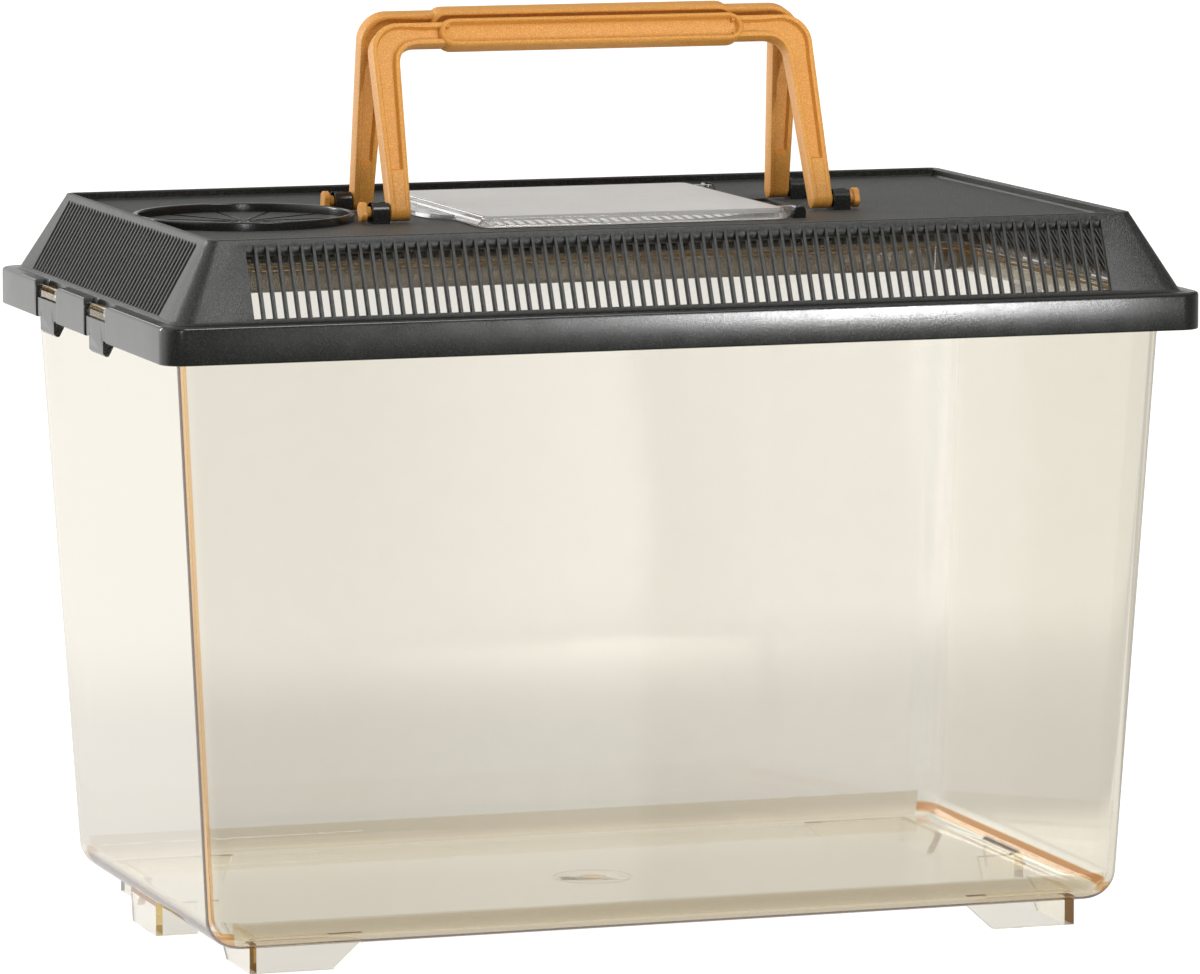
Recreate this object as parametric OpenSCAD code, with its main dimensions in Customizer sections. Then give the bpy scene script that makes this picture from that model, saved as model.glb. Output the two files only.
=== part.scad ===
// Plastic pet keeper: a clear tapered tank, a slotted clip-on lid, a clear hatch and two bail handles.
// X runs along the long side, Y from front to rear, Z up. The origin is under the middle of the feet.
// The lid is one moulding on the real object. Its rim, top and four grilles are separate solids here.

/* [Tank] */
// Outer length of the tank at the lid's lower edge
tank_l = 352; // [300:1:420]
// Outer depth of the tank at the lid's lower edge
tank_w = 210; // [190:1:250]
// Height from the underside of the tank's floor to the lid's lower edge
tank_h = 202.5; // [140:0.5:260]
// How far each end wall leans in between the lid and the floor
tank_lean_end = 11.5; // [4:0.5:16]
// How far the front and rear walls lean in between the lid and the floor
tank_lean_side = 9; // [4:0.5:14]
// Thickness of the tank's walls
tank_wall = 2.2; // [1.6:0.1:3.5]
// Thickness of the tank's floor
floor_t = 2.6; // [2:0.1:4]
// Radius of the tank's upright corners
tank_corner_r = 12; // [11:0.5:18]
// Radius of the edge between the walls and the floor
base_edge_r = 10; // [6:0.5:10.5]
// How far the rolled rim stands out from the tank's wall
rim_out = 6.5; // [5:0.1:9]
// Height of the rolled rim, from its lip to its top
rim_h = 10.2; // [8:0.1:10.5]
// Wall thickness of the rolled rim
rim_t = 1.8; // [1.4:0.1:2.4]

/* [Feet] */
// Height of the feet
foot_h = 9; // [6:0.5:12]
// Length of each foot's arms where they leave the floor
foot_l = 40; // [30:1:50]
// How much shorter the feet are at the ground, from their slanted ends
foot_slant = 10; // [4:1:14]
// Thickness of the feet
foot_t = 2.8; // [2:0.1:4]
// Distance of the corner feet from the base's ends
foot_inset_end = 14.5; // [12:0.5:24]
// Distance of the corner feet from the base's front and rear
foot_inset_side = 10; // [9:0.5:18]
// Length of the foot near the middle of each end
end_foot_l = 34; // [24:1:44]
// Slant of that foot's ends
end_foot_slant = 2; // [0:0.5:4]
// Distance of that foot from the base's end
end_foot_inset = 3; // [2:0.5:12]
// Diameter of the shallow disc under the floor where the plastic was injected
gate_d = 27.6; // [20:0.1:36]
// Depth of that disc
gate_depth = 0.4; // [0.2:0.1:0.8]
// Diameter of the stub left in the disc
vestige_d = 2.4; // [1.6:0.1:4]

/* [Lid rim] */
// Height of the lid's outer band
band_h = 13; // [11.5:0.5:18]
// Radius of the band's upright corners
band_r = 8; // [7:0.5:12]
// Wall thickness of the band
band_wall = 2; // [1.6:0.1:2.6]
// Gap between the tank's rim and the band all round
rim_gap = 1.5; // [1:0.1:2.5]
// Thickness of the shoulder between the band and the grilles
shoulder_t = 2; // [1.4:0.1:2.4]
// Width of the ledge outside the grilles
ledge = 5; // [4:0.5:6]
// Radius of the band's upper edge
band_edge_r = 1.2; // [0.6:0.1:1.8]
// Clearance where one piece rests on another
seat_gap = 0.3; // [0.2:0.05:0.5]

/* [Grilles] */
// Height from the shoulder to the lid's top
slope_h = 27; // [22:0.5:34]
// How far the end grilles lean in
lean_end = 15.5; // [10:0.5:20]
// How far the front and rear grilles lean in
lean_side = 13; // [9:0.5:15]
// Thickness of the grilles, measured level
grille_t = 2.2; // [1.8:0.1:2.6]
// Distance from one slot to the next
slot_pitch = 4.05; // [3.8:0.05:6]
// Width of a slot
slot_w = 2.8; // [1.4:0.1:3]
// Plain border below and above the slots
slot_border = 1.2; // [0.8:0.1:3]
// Plain border at each end of a grille
end_border = 9.7; // [5:0.1:14]
// Corner radius of the sloped part where it meets the shoulder
post_base_r = 8; // [7:0.5:10]
// Corner radius of the sloped part at the lid's top
post_top_r = 4; // [3.5:0.5:6]

/* [Deck] */
// Depth of the deck below the lid's top edge
deck_recess = 3; // [2.5:0.1:4]
// Thickness of the deck
deck_t = 2; // [1.6:0.1:2.6]
// Outer diameter of the round collar
collar_d = 77; // [60:1:80]
// Wall thickness of the collar
collar_t = 1.8; // [1.2:0.1:2.6]
// Number of faint ribs inside the collar
collar_ribs = 12; // [6:1:16]
// Width of those ribs
collar_rib_w = 0.6; // [0.4:0.1:1]
// Height of those ribs
collar_rib_h = 0.35; // [0.2:0.05:0.6]
// Size of the deck's opening along the lid
opening_l = 96; // [80:1:100]
// Size of the deck's opening across the lid
opening_w = 92; // [60:1:96]
// Corner radius of the deck's opening
opening_r = 5; // [3:0.5:8]
// Length of the shallow well behind the hatch's hinge
well_l = 11; // [6:0.5:12]
// Width of the well
well_w = 52; // [30:1:60]
// Depth of the well
well_d = 1; // [0.5:0.1:1.2]

/* [Hatch] */
// Length of the hatch, from its free edge to its hinged edge
hatch_l = 110; // [104:1:116]
// Width of the hatch
hatch_w = 106; // [98:1:112]
// Height of the hatch
hatch_h = 3.8; // [3.4:0.1:5]
// How far the middle of the hatch lies right of the lid's middle
hatch_x = -1; // [-4:0.5:2]
// Wall thickness of the hatch
hatch_t = 1.6; // [1.2:0.1:2]
// Radius of the hatch's upright corners
hatch_r = 4; // [3:0.5:6]
// Radius of the hatch's upper edge
hatch_edge_r = 1.4; // [0.8:0.1:1.6]
// How far the finger lip stands out
lip_out = 9; // [6:0.5:10]
// Length of the finger lip
lip_l = 44; // [30:1:50]
// Diameter of the hatch's hinge pins
hatch_pin_d = 2.6; // [2:0.1:3]
// Distance from the hatch's edge to its hinge pins
hatch_arm = 6; // [5:0.5:8]
// Thickness of the arms that carry the hinge pins
hatch_arm_t = 2.6; // [2:0.1:3]
// Radius of those arms around the pins
hatch_arm_r = 1.6; // [1.5:0.1:1.8]

/* [Handles] */
// Outer length of a handle
handle_l = 162; // [156:1:170]
// Distance of a handle's pivot from the middle of the lid
pivot_y = 23; // [22.5:0.1:25]
// Height of the pivots above the deck
pivot_h = 4; // [3.9:0.1:5]
// Clear space between a folded handle and the lid's top edge
fold_gap = 3.3; // [2:0.1:8]
// How far the front grip's middle stands behind the lid's middle, with both handles up
grip_back = 0.7; // [0:0.1:2]
// Distance between the middles of the two grips, beyond a grip's thickness, with both handles up
grip_space = 2.3; // [2.3:0.1:4]
// Width of a leg at its foot
leg_w = 7.3; // [6:0.1:9]
// Width of a leg below the corner
leg_top_w = 9.6; // [9:0.1:12]
// Height of the bar beside the grip
bar_h = 8; // [7:0.1:10]
// Thickness of the legs and the bar
handle_t = 7; // [5.5:0.1:7.2]
// Length of the grip
grip_l = 112; // [90:1:120]
// Height of the grip
grip_h = 10.4; // [9:0.1:12]
// Thickness of the grip
grip_t = 9; // [7.5:0.1:9.2]
// Depth of the channel in the legs and the bar
channel_d = 2; // [1:0.1:2.4]
// Width of the edge ribs beside the channel
edge_rib = 2; // [1.4:0.1:2.4]
// Depth of the grip's pocket
pocket_d = 2.8; // [1:0.1:3]
// Outer corner radius of a handle
handle_r = 10; // [8:0.5:14]
// Inner corner radius of a handle
handle_inner_r = 7; // [4:0.5:9]
// Height of the plain block at the foot of each leg
foot_block = 14; // [10:0.5:18]
// Diameter of the handle's pins
pin_d = 4.2; // [3.4:0.1:4.6]
// Diameter of the end flange of a pin
flange_d = 7; // [5.8:0.1:7.2]
// Thickness of the end flange of a pin
flange_t = 2.2; // [1.6:0.1:3]
// Height of the flange between its two flats, as a share of its diameter
flange_flat = 0.8; // [0.7:0.05:1]

/* [Clips] */
// Width of a handle clip along its pin
clip_w = 4.6; // [3.6:0.1:5.2]
// Wall of a clip around its pin
clip_wall = 1.5; // [1.2:0.1:1.8]
// Clearance around a pin in its clip
pin_play = 0.06; // [0.03:0.01:0.09]
// Side clearance between a clip and what turns in it
clip_gap = 0.4; // [0.3:0.05:0.6]
// Bare length of pin between a clip and the end flange
pin_neck = 3.2; // [2:0.1:4]

/* [Latches] */
// Width of a latch
latch_w = 28; // [22:1:34]
// Width of a latch's hooked tongue, below the band
hook_w = 19; // [12:1:24]
// Distance between the two latches of one end
latch_spacing = 68; // [60:1:80]
// How far the latches and the end feet lie behind the middle
end_shift = 11; // [0:1:14]
// Height of the latch inside the band
latch_h = 7; // [6:0.1:8]
// How far the latch hangs below the band
latch_drop = 5; // [4:0.5:7]
// Thickness of the latch
latch_t = 2; // [1.6:0.1:2.2]
// How far the latch lies inside the band's face
latch_set = 0.4; // [0.2:0.1:0.8]
// How far the hook reaches under the tank's rim
hook_grip = 1; // [0.6:0.1:1.1]
// Height of the hook's nose
hook_h = 1.2; // [0.8:0.1:2]
// Chamfer at the latch's lower outer edge
latch_chamfer = 1; // [0.4:0.1:1.4]

/* [Hidden] */
$fn = 48;
// Steps in a quarter of a lofted corner, and in a lofted edge
corner_steps = 6;
edge_steps = 4;
// Overlap that lets a cut pass its face cleanly
cut = 1;

// Levels
band_z = foot_h + tank_h;
shoulder_z = band_z + band_h;
top_z = shoulder_z + slope_h;
deck_z = top_z - deck_recess;
rim_z = shoulder_z - shoulder_t - seat_gap;
lip_z = rim_z - rim_h;
pivot_z = deck_z + pivot_h;

// Half sizes, as [length, depth]
tank_half = [tank_l / 2, tank_w / 2];
tank_lean = [tank_lean_end, tank_lean_side];
base_half = tank_half - tank_lean;
rim_half = tank_half + [rim_out, rim_out];
skirt_half = rim_half + [rim_gap, rim_gap];
band_half = skirt_half + [band_wall, band_wall];
slope_half = band_half - [ledge, ledge];
lean = [lean_end, lean_side];
top_half = slope_half - lean;

// Plan radii that follow from the band's
skirt_r = band_r - band_wall;
rim_r = skirt_r - rim_gap;

// Grille layout
grille_top = deck_z - shoulder_z;
slot_h = grille_top - 2 * slot_border;

// Handle layout
handle_half = handle_l / 2;
reach = top_half[1] - grille_t - fold_gap - pivot_y;
bar_mid = reach - grip_h / 2;
bar_top = bar_mid + bar_h / 2;
front_lean = asin((pivot_y + grip_back) / bar_mid);
rear_lean = asin((pivot_y - grip_back - grip_t - grip_space) / bar_mid);
clip_x = handle_half + clip_gap;
flange_x = clip_x + clip_w + pin_neck;
// Overlap of the bar and the grip, and the least space under a handle's foot
grip_overlap = 0.5;
foot_space = 0.4;

// Collar and hatch layout; the hatch hinges on its right edge
collar_gap = 0.5;
collar_rib_start = 3;
collar_x = -(top_half[0] - collar_d / 2 - collar_gap);
hatch_z = deck_z + seat_gap;
hinge_x = hatch_x + hatch_l / 2 + hatch_arm;
hatch_pin_z = hatch_z + hatch_h / 2;
hatch_clip_w = 4;
hatch_clip_y = hatch_w / 2 - hatch_clip_w;
hatch_clip_wall = 1.2;
well_gap = 4;
well_x = hinge_x + well_gap;

// Latch layout
latch_face = band_half[0] - latch_set;
latch_back = latch_face - latch_t;
hook_x = rim_half[0] - hook_grip;
latch_top = band_z + latch_h;
toe_z = band_z - latch_drop;
hinge_r = 0.8;
latch_gap = 0.3;
shoulder_notch = 3;
tongue_root = 0.5;

// Points of a rounded rectangle with half sizes h and corner radius r, counter-clockwise
function rounded(h, r) = [
    for (q = [0:3])
        let (mid = [(q == 0 || q == 3 ? 1 : -1) * (h[0] - r), (q < 2 ? 1 : -1) * (h[1] - r)])
            for (i = [0:corner_steps])
                let (a = 90 * (q + i / corner_steps)) mid + r * [cos(a), sin(a)]];

// Solid skinned over rings of as many points each, from the lowest ring to the highest
module skin(rings) {
    m = len(rings[0]);
    last = len(rings) - 1;
    sides = [for (j = [0:last - 1]) for (i = [0:m - 1])
        [j * m + i, (j + 1) * m + i, (j + 1) * m + (i + 1) % m, j * m + (i + 1) % m]];
    bottom = [for (i = [0:m - 1]) i];
    top = [for (i = [m - 1:-1:0]) last * m + i];
    polyhedron([for (r = rings) for (p = r) p], concat([bottom], sides, [top]));
}

// Solid through rounded rectangles, where each section is [height, half sizes, corner radius]
module loft(sections) {
    skin([for (s = sections) [for (p = rounded(s[1], s[2])) [p[0], p[1], s[0]]]]);
}

// Upright prism on a rounded rectangle
module slab(h, r, z0, z1) {
    translate([0, 0, z0]) linear_extrude(z1 - z0) polygon(rounded(h, r));
}

// Repeats a piece at both ends of the object
module both_ends() {
    for (side = [0, 1]) mirror([side, 0, 0]) children();
}

// Half sizes of the tank's outside at a height
function tank_at(z) = tank_half - tank_lean * (band_z - z) / tank_h;

// Sections of the tank's tapered body, drawn in by a wall, with its lower edge rounded
function tank_sections(inset, z0, edge, z1) = concat(
    [for (i = [0:edge_steps])
        let (a = 90 * i / edge_steps, z = z0 + edge * (1 - cos(a)), in = inset + edge * (1 - sin(a)))
            [z, tank_at(z) - [in, in], tank_corner_r - in]],
    [[z1, tank_at(z1) - [inset, inset], tank_corner_r - inset]]);

// Upright rib of a foot along X: its outer face is at y = 0, its far end slants, and its root runs into the tank
module foot_rib(length, slant) {
    root = foot_h + base_edge_r / 2;
    rotate([90, 0, 0]) translate([0, 0, -foot_t]) linear_extrude(foot_t)
        polygon([[0, 0], [length - slant, 0], [length, foot_h], [length, root], [0, root]]);
}

// L-shaped foot with its corner towards -X and -Y
module foot(length_x, length_y, slant) {
    foot_rib(length_x, slant);
    mirror([1, -1, 0]) foot_rib(length_y, slant);
}

module feet() {
    both_ends() {
        for (side = [0, 1]) mirror([0, side, 0])
            translate([-base_half[0] + foot_inset_end, -base_half[1] + foot_inset_side, 0])
                foot(foot_l, foot_l, foot_slant);
        translate([-base_half[0] + end_foot_inset, end_shift - end_foot_l / 2, 0])
            foot(end_foot_l / 2, end_foot_l, end_foot_slant);
    }
}

module tank() {
    color([0.9, 0.86, 0.76, 0.4]) {
        difference() {
            union() {
                loft(tank_sections(0, foot_h, base_edge_r, rim_z));
                slab(rim_half, rim_r, lip_z, rim_z);
                feet();
            }
            difference() {
                slab(rim_half - [rim_t, rim_t], max(rim_r - rim_t, 0.5), lip_z - cut, rim_z - rim_t);
                loft(tank_sections(0, foot_h, base_edge_r, rim_z));
            }
            loft(tank_sections(tank_wall, foot_h + floor_t, base_edge_r - tank_wall, rim_z + cut));
            translate([0, 0, foot_h - cut]) cylinder(d = gate_d, h = cut + gate_depth);
        }
        translate([0, 0, foot_h - gate_depth]) cylinder(d = vestige_d, h = 3 * gate_depth);
    }
}

// Half sizes and corner radius of the sloped part at a height above the shoulder
function slope_at(z) = slope_half - lean * z / slope_h;
function slope_r(z) = post_base_r + (post_top_r - post_base_r) * z / slope_h;

// Quarter-round corner of the sloped part, between a front grille and an end grille
module corner_post() {
    root = shoulder_t / 2;
    function ring(z, level) = let (r = slope_r(z), mid = -slope_at(z) + [r, r])
        concat([[mid[0], mid[1], level]], [for (i = [0:corner_steps])
            let (a = 180 + 90 * i / corner_steps) [mid[0] + r * cos(a), mid[1] + r * sin(a), level]]);
    skin([ring(0, shoulder_z - root), ring(0, shoulder_z), ring(grille_top, deck_z)]);
}

// Space inside the sloped part
module slope_space() {
    function section(z) = [shoulder_z + z, slope_at(z) - [grille_t, grille_t], slope_r(z) - grille_t];
    loft([section(-shoulder_t - cut), section(grille_top + cut)]);
}

module latch_window(y) {
    translate([band_half[0] - shoulder_notch, y - latch_w / 2 - latch_gap, band_z - cut])
        cube([shoulder_notch + cut, latch_w + 2 * latch_gap, band_h + 2 * cut]);
}

module lid_rim() {
    edge = [for (i = [0:edge_steps])
        let (a = 90 * i / edge_steps, in = band_edge_r * (1 - cos(a)))
            [shoulder_z - band_edge_r * (1 - sin(a)), band_half - [in, in], band_r - in]];
    color([0.16, 0.16, 0.16]) {
        difference() {
            union() {
                loft(concat([[band_z, band_half, band_r]], edge));
                both_ends() for (side = [0, 1]) mirror([0, side, 0]) corner_post();
            }
            slab(skirt_half, skirt_r, band_z - cut, shoulder_z - shoulder_t);
            slope_space();
            both_ends() for (side = [-1, 1]) latch_window(end_shift + side * latch_spacing / 2);
        }
    }
}

// A leaning grille of half length half_l: a trapezoid with upright slots, cut to a sheet that leans in by run
module grille(half_l, shift, half_d, run) {
    base = half_l - post_base_r;
    radius_change = (post_top_r - post_base_r) * grille_top / slope_h;
    crown = half_l - shift * grille_top / slope_h - (post_base_r + radius_change);
    span = 2 * (half_l - shift - end_border);
    count = floor(span / slot_pitch);
    in = run * grille_top / slope_h;
    intersection() {
        rotate([90, 0, 0]) translate([0, 0, -half_d]) linear_extrude(2 * half_d) difference() {
            polygon([[-base, 0], [base, 0], [crown, grille_top], [-crown, grille_top]]);
            for (i = [0:count - 1])
                translate([(i - (count - 1) / 2) * slot_pitch - slot_w / 2, slot_border])
                    square([slot_w, slot_h]);
        }
        rotate([90, 0, 90]) translate([0, 0, -half_l]) linear_extrude(2 * half_l)
            polygon([[-half_d, 0], [-half_d + grille_t, 0], [-half_d + in + grille_t, grille_top],
                [-half_d + in, grille_top]]);
    }
}

module front_grille() {
    color([0.17, 0.17, 0.17]) translate([0, 0, shoulder_z])
        grille(slope_half[0], lean[0], slope_half[1], lean[1]);
}

module rear_grille() {
    color([0.17, 0.17, 0.17]) translate([0, 0, shoulder_z]) mirror([0, 1, 0])
        grille(slope_half[0], lean[0], slope_half[1], lean[1]);
}

module left_grille() {
    color([0.17, 0.17, 0.17]) translate([0, 0, shoulder_z]) rotate(-90)
        grille(slope_half[1], lean[1], slope_half[0], lean[0]);
}

module right_grille() {
    color([0.17, 0.17, 0.17]) translate([0, 0, shoulder_z]) rotate(90)
        grille(slope_half[1], lean[1], slope_half[0], lean[0]);
}

// Clip that holds a pin of diameter d along X: a rounded post, bored, with a mouth narrower than the pin
module clip(d, wall, width, height) {
    r = d / 2 + pin_play;
    rotate([90, 0, 90]) linear_extrude(width) difference() {
        union() {
            translate([0, height]) circle(r + wall);
            translate([-r - wall, -cut / 2]) square([2 * (r + wall), height + cut / 2]);
        }
        translate([0, height]) circle(r);
        translate([-0.8 * r, height]) square([1.6 * r, r + wall + cut]);
    }
}

module lid_top() {
    deck_half = slope_at(grille_top);
    deck_r = slope_r(grille_top);
    color([0.2, 0.2, 0.2]) {
        difference() {
            loft([[deck_z, deck_half, deck_r], [top_z, top_half, post_top_r]]);
            slab(top_half - [grille_t, grille_t], post_top_r - grille_t, deck_z, top_z + cut);
        }
        difference() {
            slab(deck_half - [grille_t, grille_t], deck_r - grille_t, deck_z - deck_t, deck_z);
            translate([hatch_x, 0, 0])
                slab([opening_l, opening_w] / 2, opening_r, deck_z - 2 * deck_t, deck_z + cut);
            translate([well_x, -well_w / 2, deck_z - well_d]) cube([well_l, well_w, well_d + cut]);
        }
        translate([collar_x, 0, deck_z - cut / 2]) {
            difference() {
                cylinder(d = collar_d, h = deck_recess + cut / 2);
                translate([0, 0, -cut]) cylinder(d = collar_d - 2 * collar_t, h = deck_recess + 3 * cut);
            }
            for (i = [0:collar_ribs - 1]) rotate(360 * i / collar_ribs)
                translate([collar_rib_start, -collar_rib_w / 2, 0])
                    cube([(collar_d - collar_t) / 2 - collar_rib_start, collar_rib_w, cut / 2 + collar_rib_h]);
        }
        both_ends() for (side = [-1, 1])
            translate([clip_x, side * pivot_y, deck_z]) clip(pin_d, clip_wall, clip_w, pivot_h);
        for (side = [-1, 1]) translate([hinge_x, side * hatch_clip_y, deck_z])
            rotate(90) translate([-hatch_clip_w / 2, 0, 0])
                clip(hatch_pin_d, hatch_clip_wall, hatch_clip_w, hatch_pin_z - deck_z);
    }
}

module hatch() {
    edge = [for (i = [0:edge_steps])
        let (a = 90 * i / edge_steps, in = hatch_edge_r * (1 - cos(a)))
            [hatch_z + hatch_h - hatch_edge_r * (1 - sin(a)), [hatch_l, hatch_w] / 2 - [in, in], hatch_r - in]];
    arm_y = hatch_clip_y - hatch_clip_w / 2 - clip_gap;
    color([0.93, 0.93, 0.9, 0.6]) {
        translate([hatch_x, 0, 0]) {
            difference() {
                loft(concat([[hatch_z, [hatch_l, hatch_w] / 2, hatch_r]], edge));
                slab([hatch_l, hatch_w] / 2 - [hatch_t, hatch_t], hatch_r - hatch_t, hatch_z - cut,
                    hatch_z + hatch_h - hatch_t);
            }
            translate([-hatch_l / 2 + hatch_t / 2, 0, hatch_z]) linear_extrude(hatch_t) intersection() {
                scale([2 * (lip_out + hatch_t / 2) / lip_l, 1]) circle(d = lip_l);
                translate([-lip_l, -lip_l]) square([lip_l, 2 * lip_l]);
            }
        }
        for (side = [0, 1]) mirror([0, side, 0]) translate([hinge_x, arm_y, hatch_pin_z]) rotate([90, 0, 0]) {
            linear_extrude(hatch_arm_t) {
                circle(hatch_arm_r);
                translate([-hatch_arm - hatch_t / 2, -hatch_arm_r])
                    square([hatch_arm + hatch_t / 2, 2 * hatch_arm_r]);
            }
            translate([0, 0, -hatch_clip_w - 2 * clip_gap])
                cylinder(d = hatch_pin_d, h = hatch_clip_w + 2 * clip_gap + hatch_arm_t / 2);
        }
    }
}

// Outline of a handle with its pivot at the origin, drawn in by the width of a rib
module bail_outline(rib, foot) {
    w = handle_half - rib;
    top = bar_top - rib;
    r = handle_r - rib;
    inner_r = handle_inner_r + rib;
    inner_top = bar_top - bar_h + rib;
    foot_in = handle_half - leg_w + rib;
    knee_in = handle_half - leg_top_w + rib;
    difference() {
        union() {
            translate([-w, foot]) square([2 * w, top - r - foot]);
            translate([r - w, foot]) square([2 * (w - r), top - foot]);
            for (side = [-1, 1]) translate([side * (w - r), top - r]) circle(r);
        }
        translate([0, inner_top - inner_r]) for (side = [-1, 1])
            translate([side * (knee_in - inner_r), 0]) circle(inner_r);
        translate([-(knee_in - inner_r), foot - cut]) square([2 * (knee_in - inner_r), inner_top - foot + cut]);
        polygon([[-foot_in, foot - cut], [foot_in, foot - cut], [knee_in, inner_top - inner_r],
            [-knee_in, inner_top - inner_r]]);
    }
}

// Stadium outline of the grip
module grip_outline(rib) {
    r = grip_h / 2 - rib;
    for (side = [-1, 1]) translate([side * (grip_l / 2 - grip_h / 2), bar_mid]) circle(r);
    translate([-(grip_l - grip_h) / 2, bar_mid - r]) square([grip_l - grip_h, 2 * r]);
}

// A handle standing upright over its pivot, with X along the grip
module bail() {
    foot_r = min(pivot_h - foot_space, handle_t / 2);
    rotate([90, 0, 0]) {
        difference() {
            translate([0, 0, -handle_t / 2]) linear_extrude(handle_t) bail_outline(0, 0);
            for (side = [0, 1]) mirror([0, 0, side]) translate([0, 0, handle_t / 2 - channel_d])
                linear_extrude(channel_d + cut) bail_outline(edge_rib, foot_block);
            translate([0, 0, -grip_t]) linear_extrude(2 * grip_t) grip_outline(grip_overlap);
        }
        difference() {
            translate([0, 0, -grip_t / 2]) linear_extrude(grip_t) grip_outline(0);
            for (side = [0, 1]) mirror([0, 0, side]) translate([0, 0, grip_t / 2 - pocket_d])
                linear_extrude(pocket_d + cut) grip_outline(edge_rib);
        }
    }
    both_ends() {
        translate([handle_half - leg_w, 0, 0]) rotate([0, 90, 0]) cylinder(r = foot_r, h = leg_w);
        translate([handle_half - cut, 0, 0]) rotate([0, 90, 0])
            cylinder(d = pin_d, h = flange_x - handle_half + flange_t + cut);
        translate([flange_x, 0, 0]) rotate([0, 90, 0]) intersection() {
            cylinder(d = flange_d, h = flange_t);
            translate([-flange_d, -flange_flat * flange_d / 2, 0])
                cube([2 * flange_d, flange_flat * flange_d, flange_t]);
        }
    }
}

module front_handle() {
    color([0.88, 0.62, 0.34]) translate([0, -pivot_y, pivot_z]) rotate([-front_lean, 0, 0]) bail();
}

module rear_handle() {
    color([0.82, 0.55, 0.28]) translate([0, pivot_y, pivot_z]) rotate([rear_lean, 0, 0]) bail();
}

// Spring tab at the right-hand end: it hooks under the tank's rim and bends about its upper corner
module latch(y) {
    color([0.15, 0.15, 0.15]) translate([0, y, 0]) {
        difference() {
            translate([0, latch_w / 2, 0]) rotate([90, 0, 0]) linear_extrude(latch_w)
                polygon([[latch_face, latch_top], [latch_face, toe_z + latch_chamfer],
                    [latch_face - latch_chamfer, toe_z], [latch_back, toe_z], [hook_x, lip_z - seat_gap - hook_h],
                    [hook_x, lip_z - seat_gap], [latch_back, lip_z - seat_gap], [latch_back, latch_top]]);
            for (side = [0, 1]) mirror([0, side, 0]) translate([hook_x - cut, hook_w / 2, toe_z - cut])
                cube([latch_face - hook_x + 2 * cut, latch_w, latch_drop + tongue_root + cut]);
        }
        translate([latch_back + latch_t / 2, latch_w / 2 + latch_gap, latch_top - hinge_r])
            rotate([90, 0, 0]) cylinder(r = hinge_r, h = latch_w + 2 * latch_gap);
    }
}

module left_front_latch() { mirror([1, 0, 0]) latch(end_shift - latch_spacing / 2); }
module left_rear_latch() { mirror([1, 0, 0]) latch(end_shift + latch_spacing / 2); }
module right_front_latch() { latch(end_shift - latch_spacing / 2); }
module right_rear_latch() { latch(end_shift + latch_spacing / 2); }

tank();
lid_rim();
lid_top();
front_grille();
rear_grille();
left_grille();
right_grille();
hatch();
front_handle();
rear_handle();
left_front_latch();
left_rear_latch();
right_front_latch();
right_rear_latch();
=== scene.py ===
"""Looks of the plastic pet keeper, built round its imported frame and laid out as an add-on."""

import math

import bpy
import numpy as np
from bpy.props import FloatProperty, FloatVectorProperty, IntProperty, PointerProperty
from mathutils import Matrix, Vector


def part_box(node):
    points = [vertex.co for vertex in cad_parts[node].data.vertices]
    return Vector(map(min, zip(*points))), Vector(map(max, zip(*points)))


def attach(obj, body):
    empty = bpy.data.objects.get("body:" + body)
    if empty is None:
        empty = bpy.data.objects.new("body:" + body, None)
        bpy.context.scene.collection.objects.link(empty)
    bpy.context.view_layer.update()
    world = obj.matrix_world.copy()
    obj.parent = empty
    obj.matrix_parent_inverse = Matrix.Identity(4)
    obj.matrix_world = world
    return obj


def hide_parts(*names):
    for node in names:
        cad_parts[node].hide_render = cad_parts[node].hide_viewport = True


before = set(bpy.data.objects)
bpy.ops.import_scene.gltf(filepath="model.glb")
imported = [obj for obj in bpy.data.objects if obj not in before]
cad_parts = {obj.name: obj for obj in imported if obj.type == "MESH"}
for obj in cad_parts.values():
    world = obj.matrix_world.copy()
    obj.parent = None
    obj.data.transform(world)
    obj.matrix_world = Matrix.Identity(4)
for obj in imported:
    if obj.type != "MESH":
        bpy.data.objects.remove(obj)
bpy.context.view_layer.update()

bl_info = {
    "name": "Plastic Pet Keeper",
    "version": (1, 0, 0),
    "blender": (4, 5, 0),
    "location": "View3D > Sidebar > Keeper",
    "description": "Builds the clear tank, slotted lid, hatch and amber handles of a pet keeper",
    "category": "Add Mesh",
}

MM = 0.001


def corner_mm(node):
    """Lowest and highest corner of a CAD node, in millimetres."""
    low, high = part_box(node)
    return np.array(low) / MM, np.array(high) / MM


RIM_LOW, RIM_HIGH = corner_mm("lid_rim")
TANK_HIGH = corner_mm("tank")[1]
HATCH_LOW, HATCH_HIGH = corner_mm("hatch")

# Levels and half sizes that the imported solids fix, in millimetres
BAND_Z, DECK_Z, RIM_Z = RIM_LOW[2], RIM_HIGH[2], TANK_HIGH[2]
BAND_HALF, TANK_RIM_HALF = RIM_HIGH[:2], TANK_HIGH[:2]
SHOULDER_Z = BAND_Z + 13
SLOPE_H = 27
TOP_Z = SHOULDER_Z + SLOPE_H
PIVOT_Z = DECK_Z + 4
TANK_HALF, TANK_LEAN, TANK_H = np.array([176, 105]), np.array([11.5, 9]), 202.5
LID_LEAN = np.array([15.5, 13.0])
RIM_H, FOOT_T = 10.2, 2.8
END_SHIFT, LATCH_SPACING = 11, 68
HANDLE_X, HANDLE_TOP, PIVOT_Y, HINGE_X = 81.0, 67.3, 23, 60


def length(name, description, millimetres):
    """A length property that is given in millimetres and held in metres."""
    return FloatProperty(name=name, description=description, default=millimetres * MM, unit="LENGTH",
                         subtype="DISTANCE", precision=5)


def colour(name, description, value):
    """A colour property."""
    return FloatVectorProperty(name=name, description=description, default=value, subtype="COLOR", size=4,
                               min=0, max=1)


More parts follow.
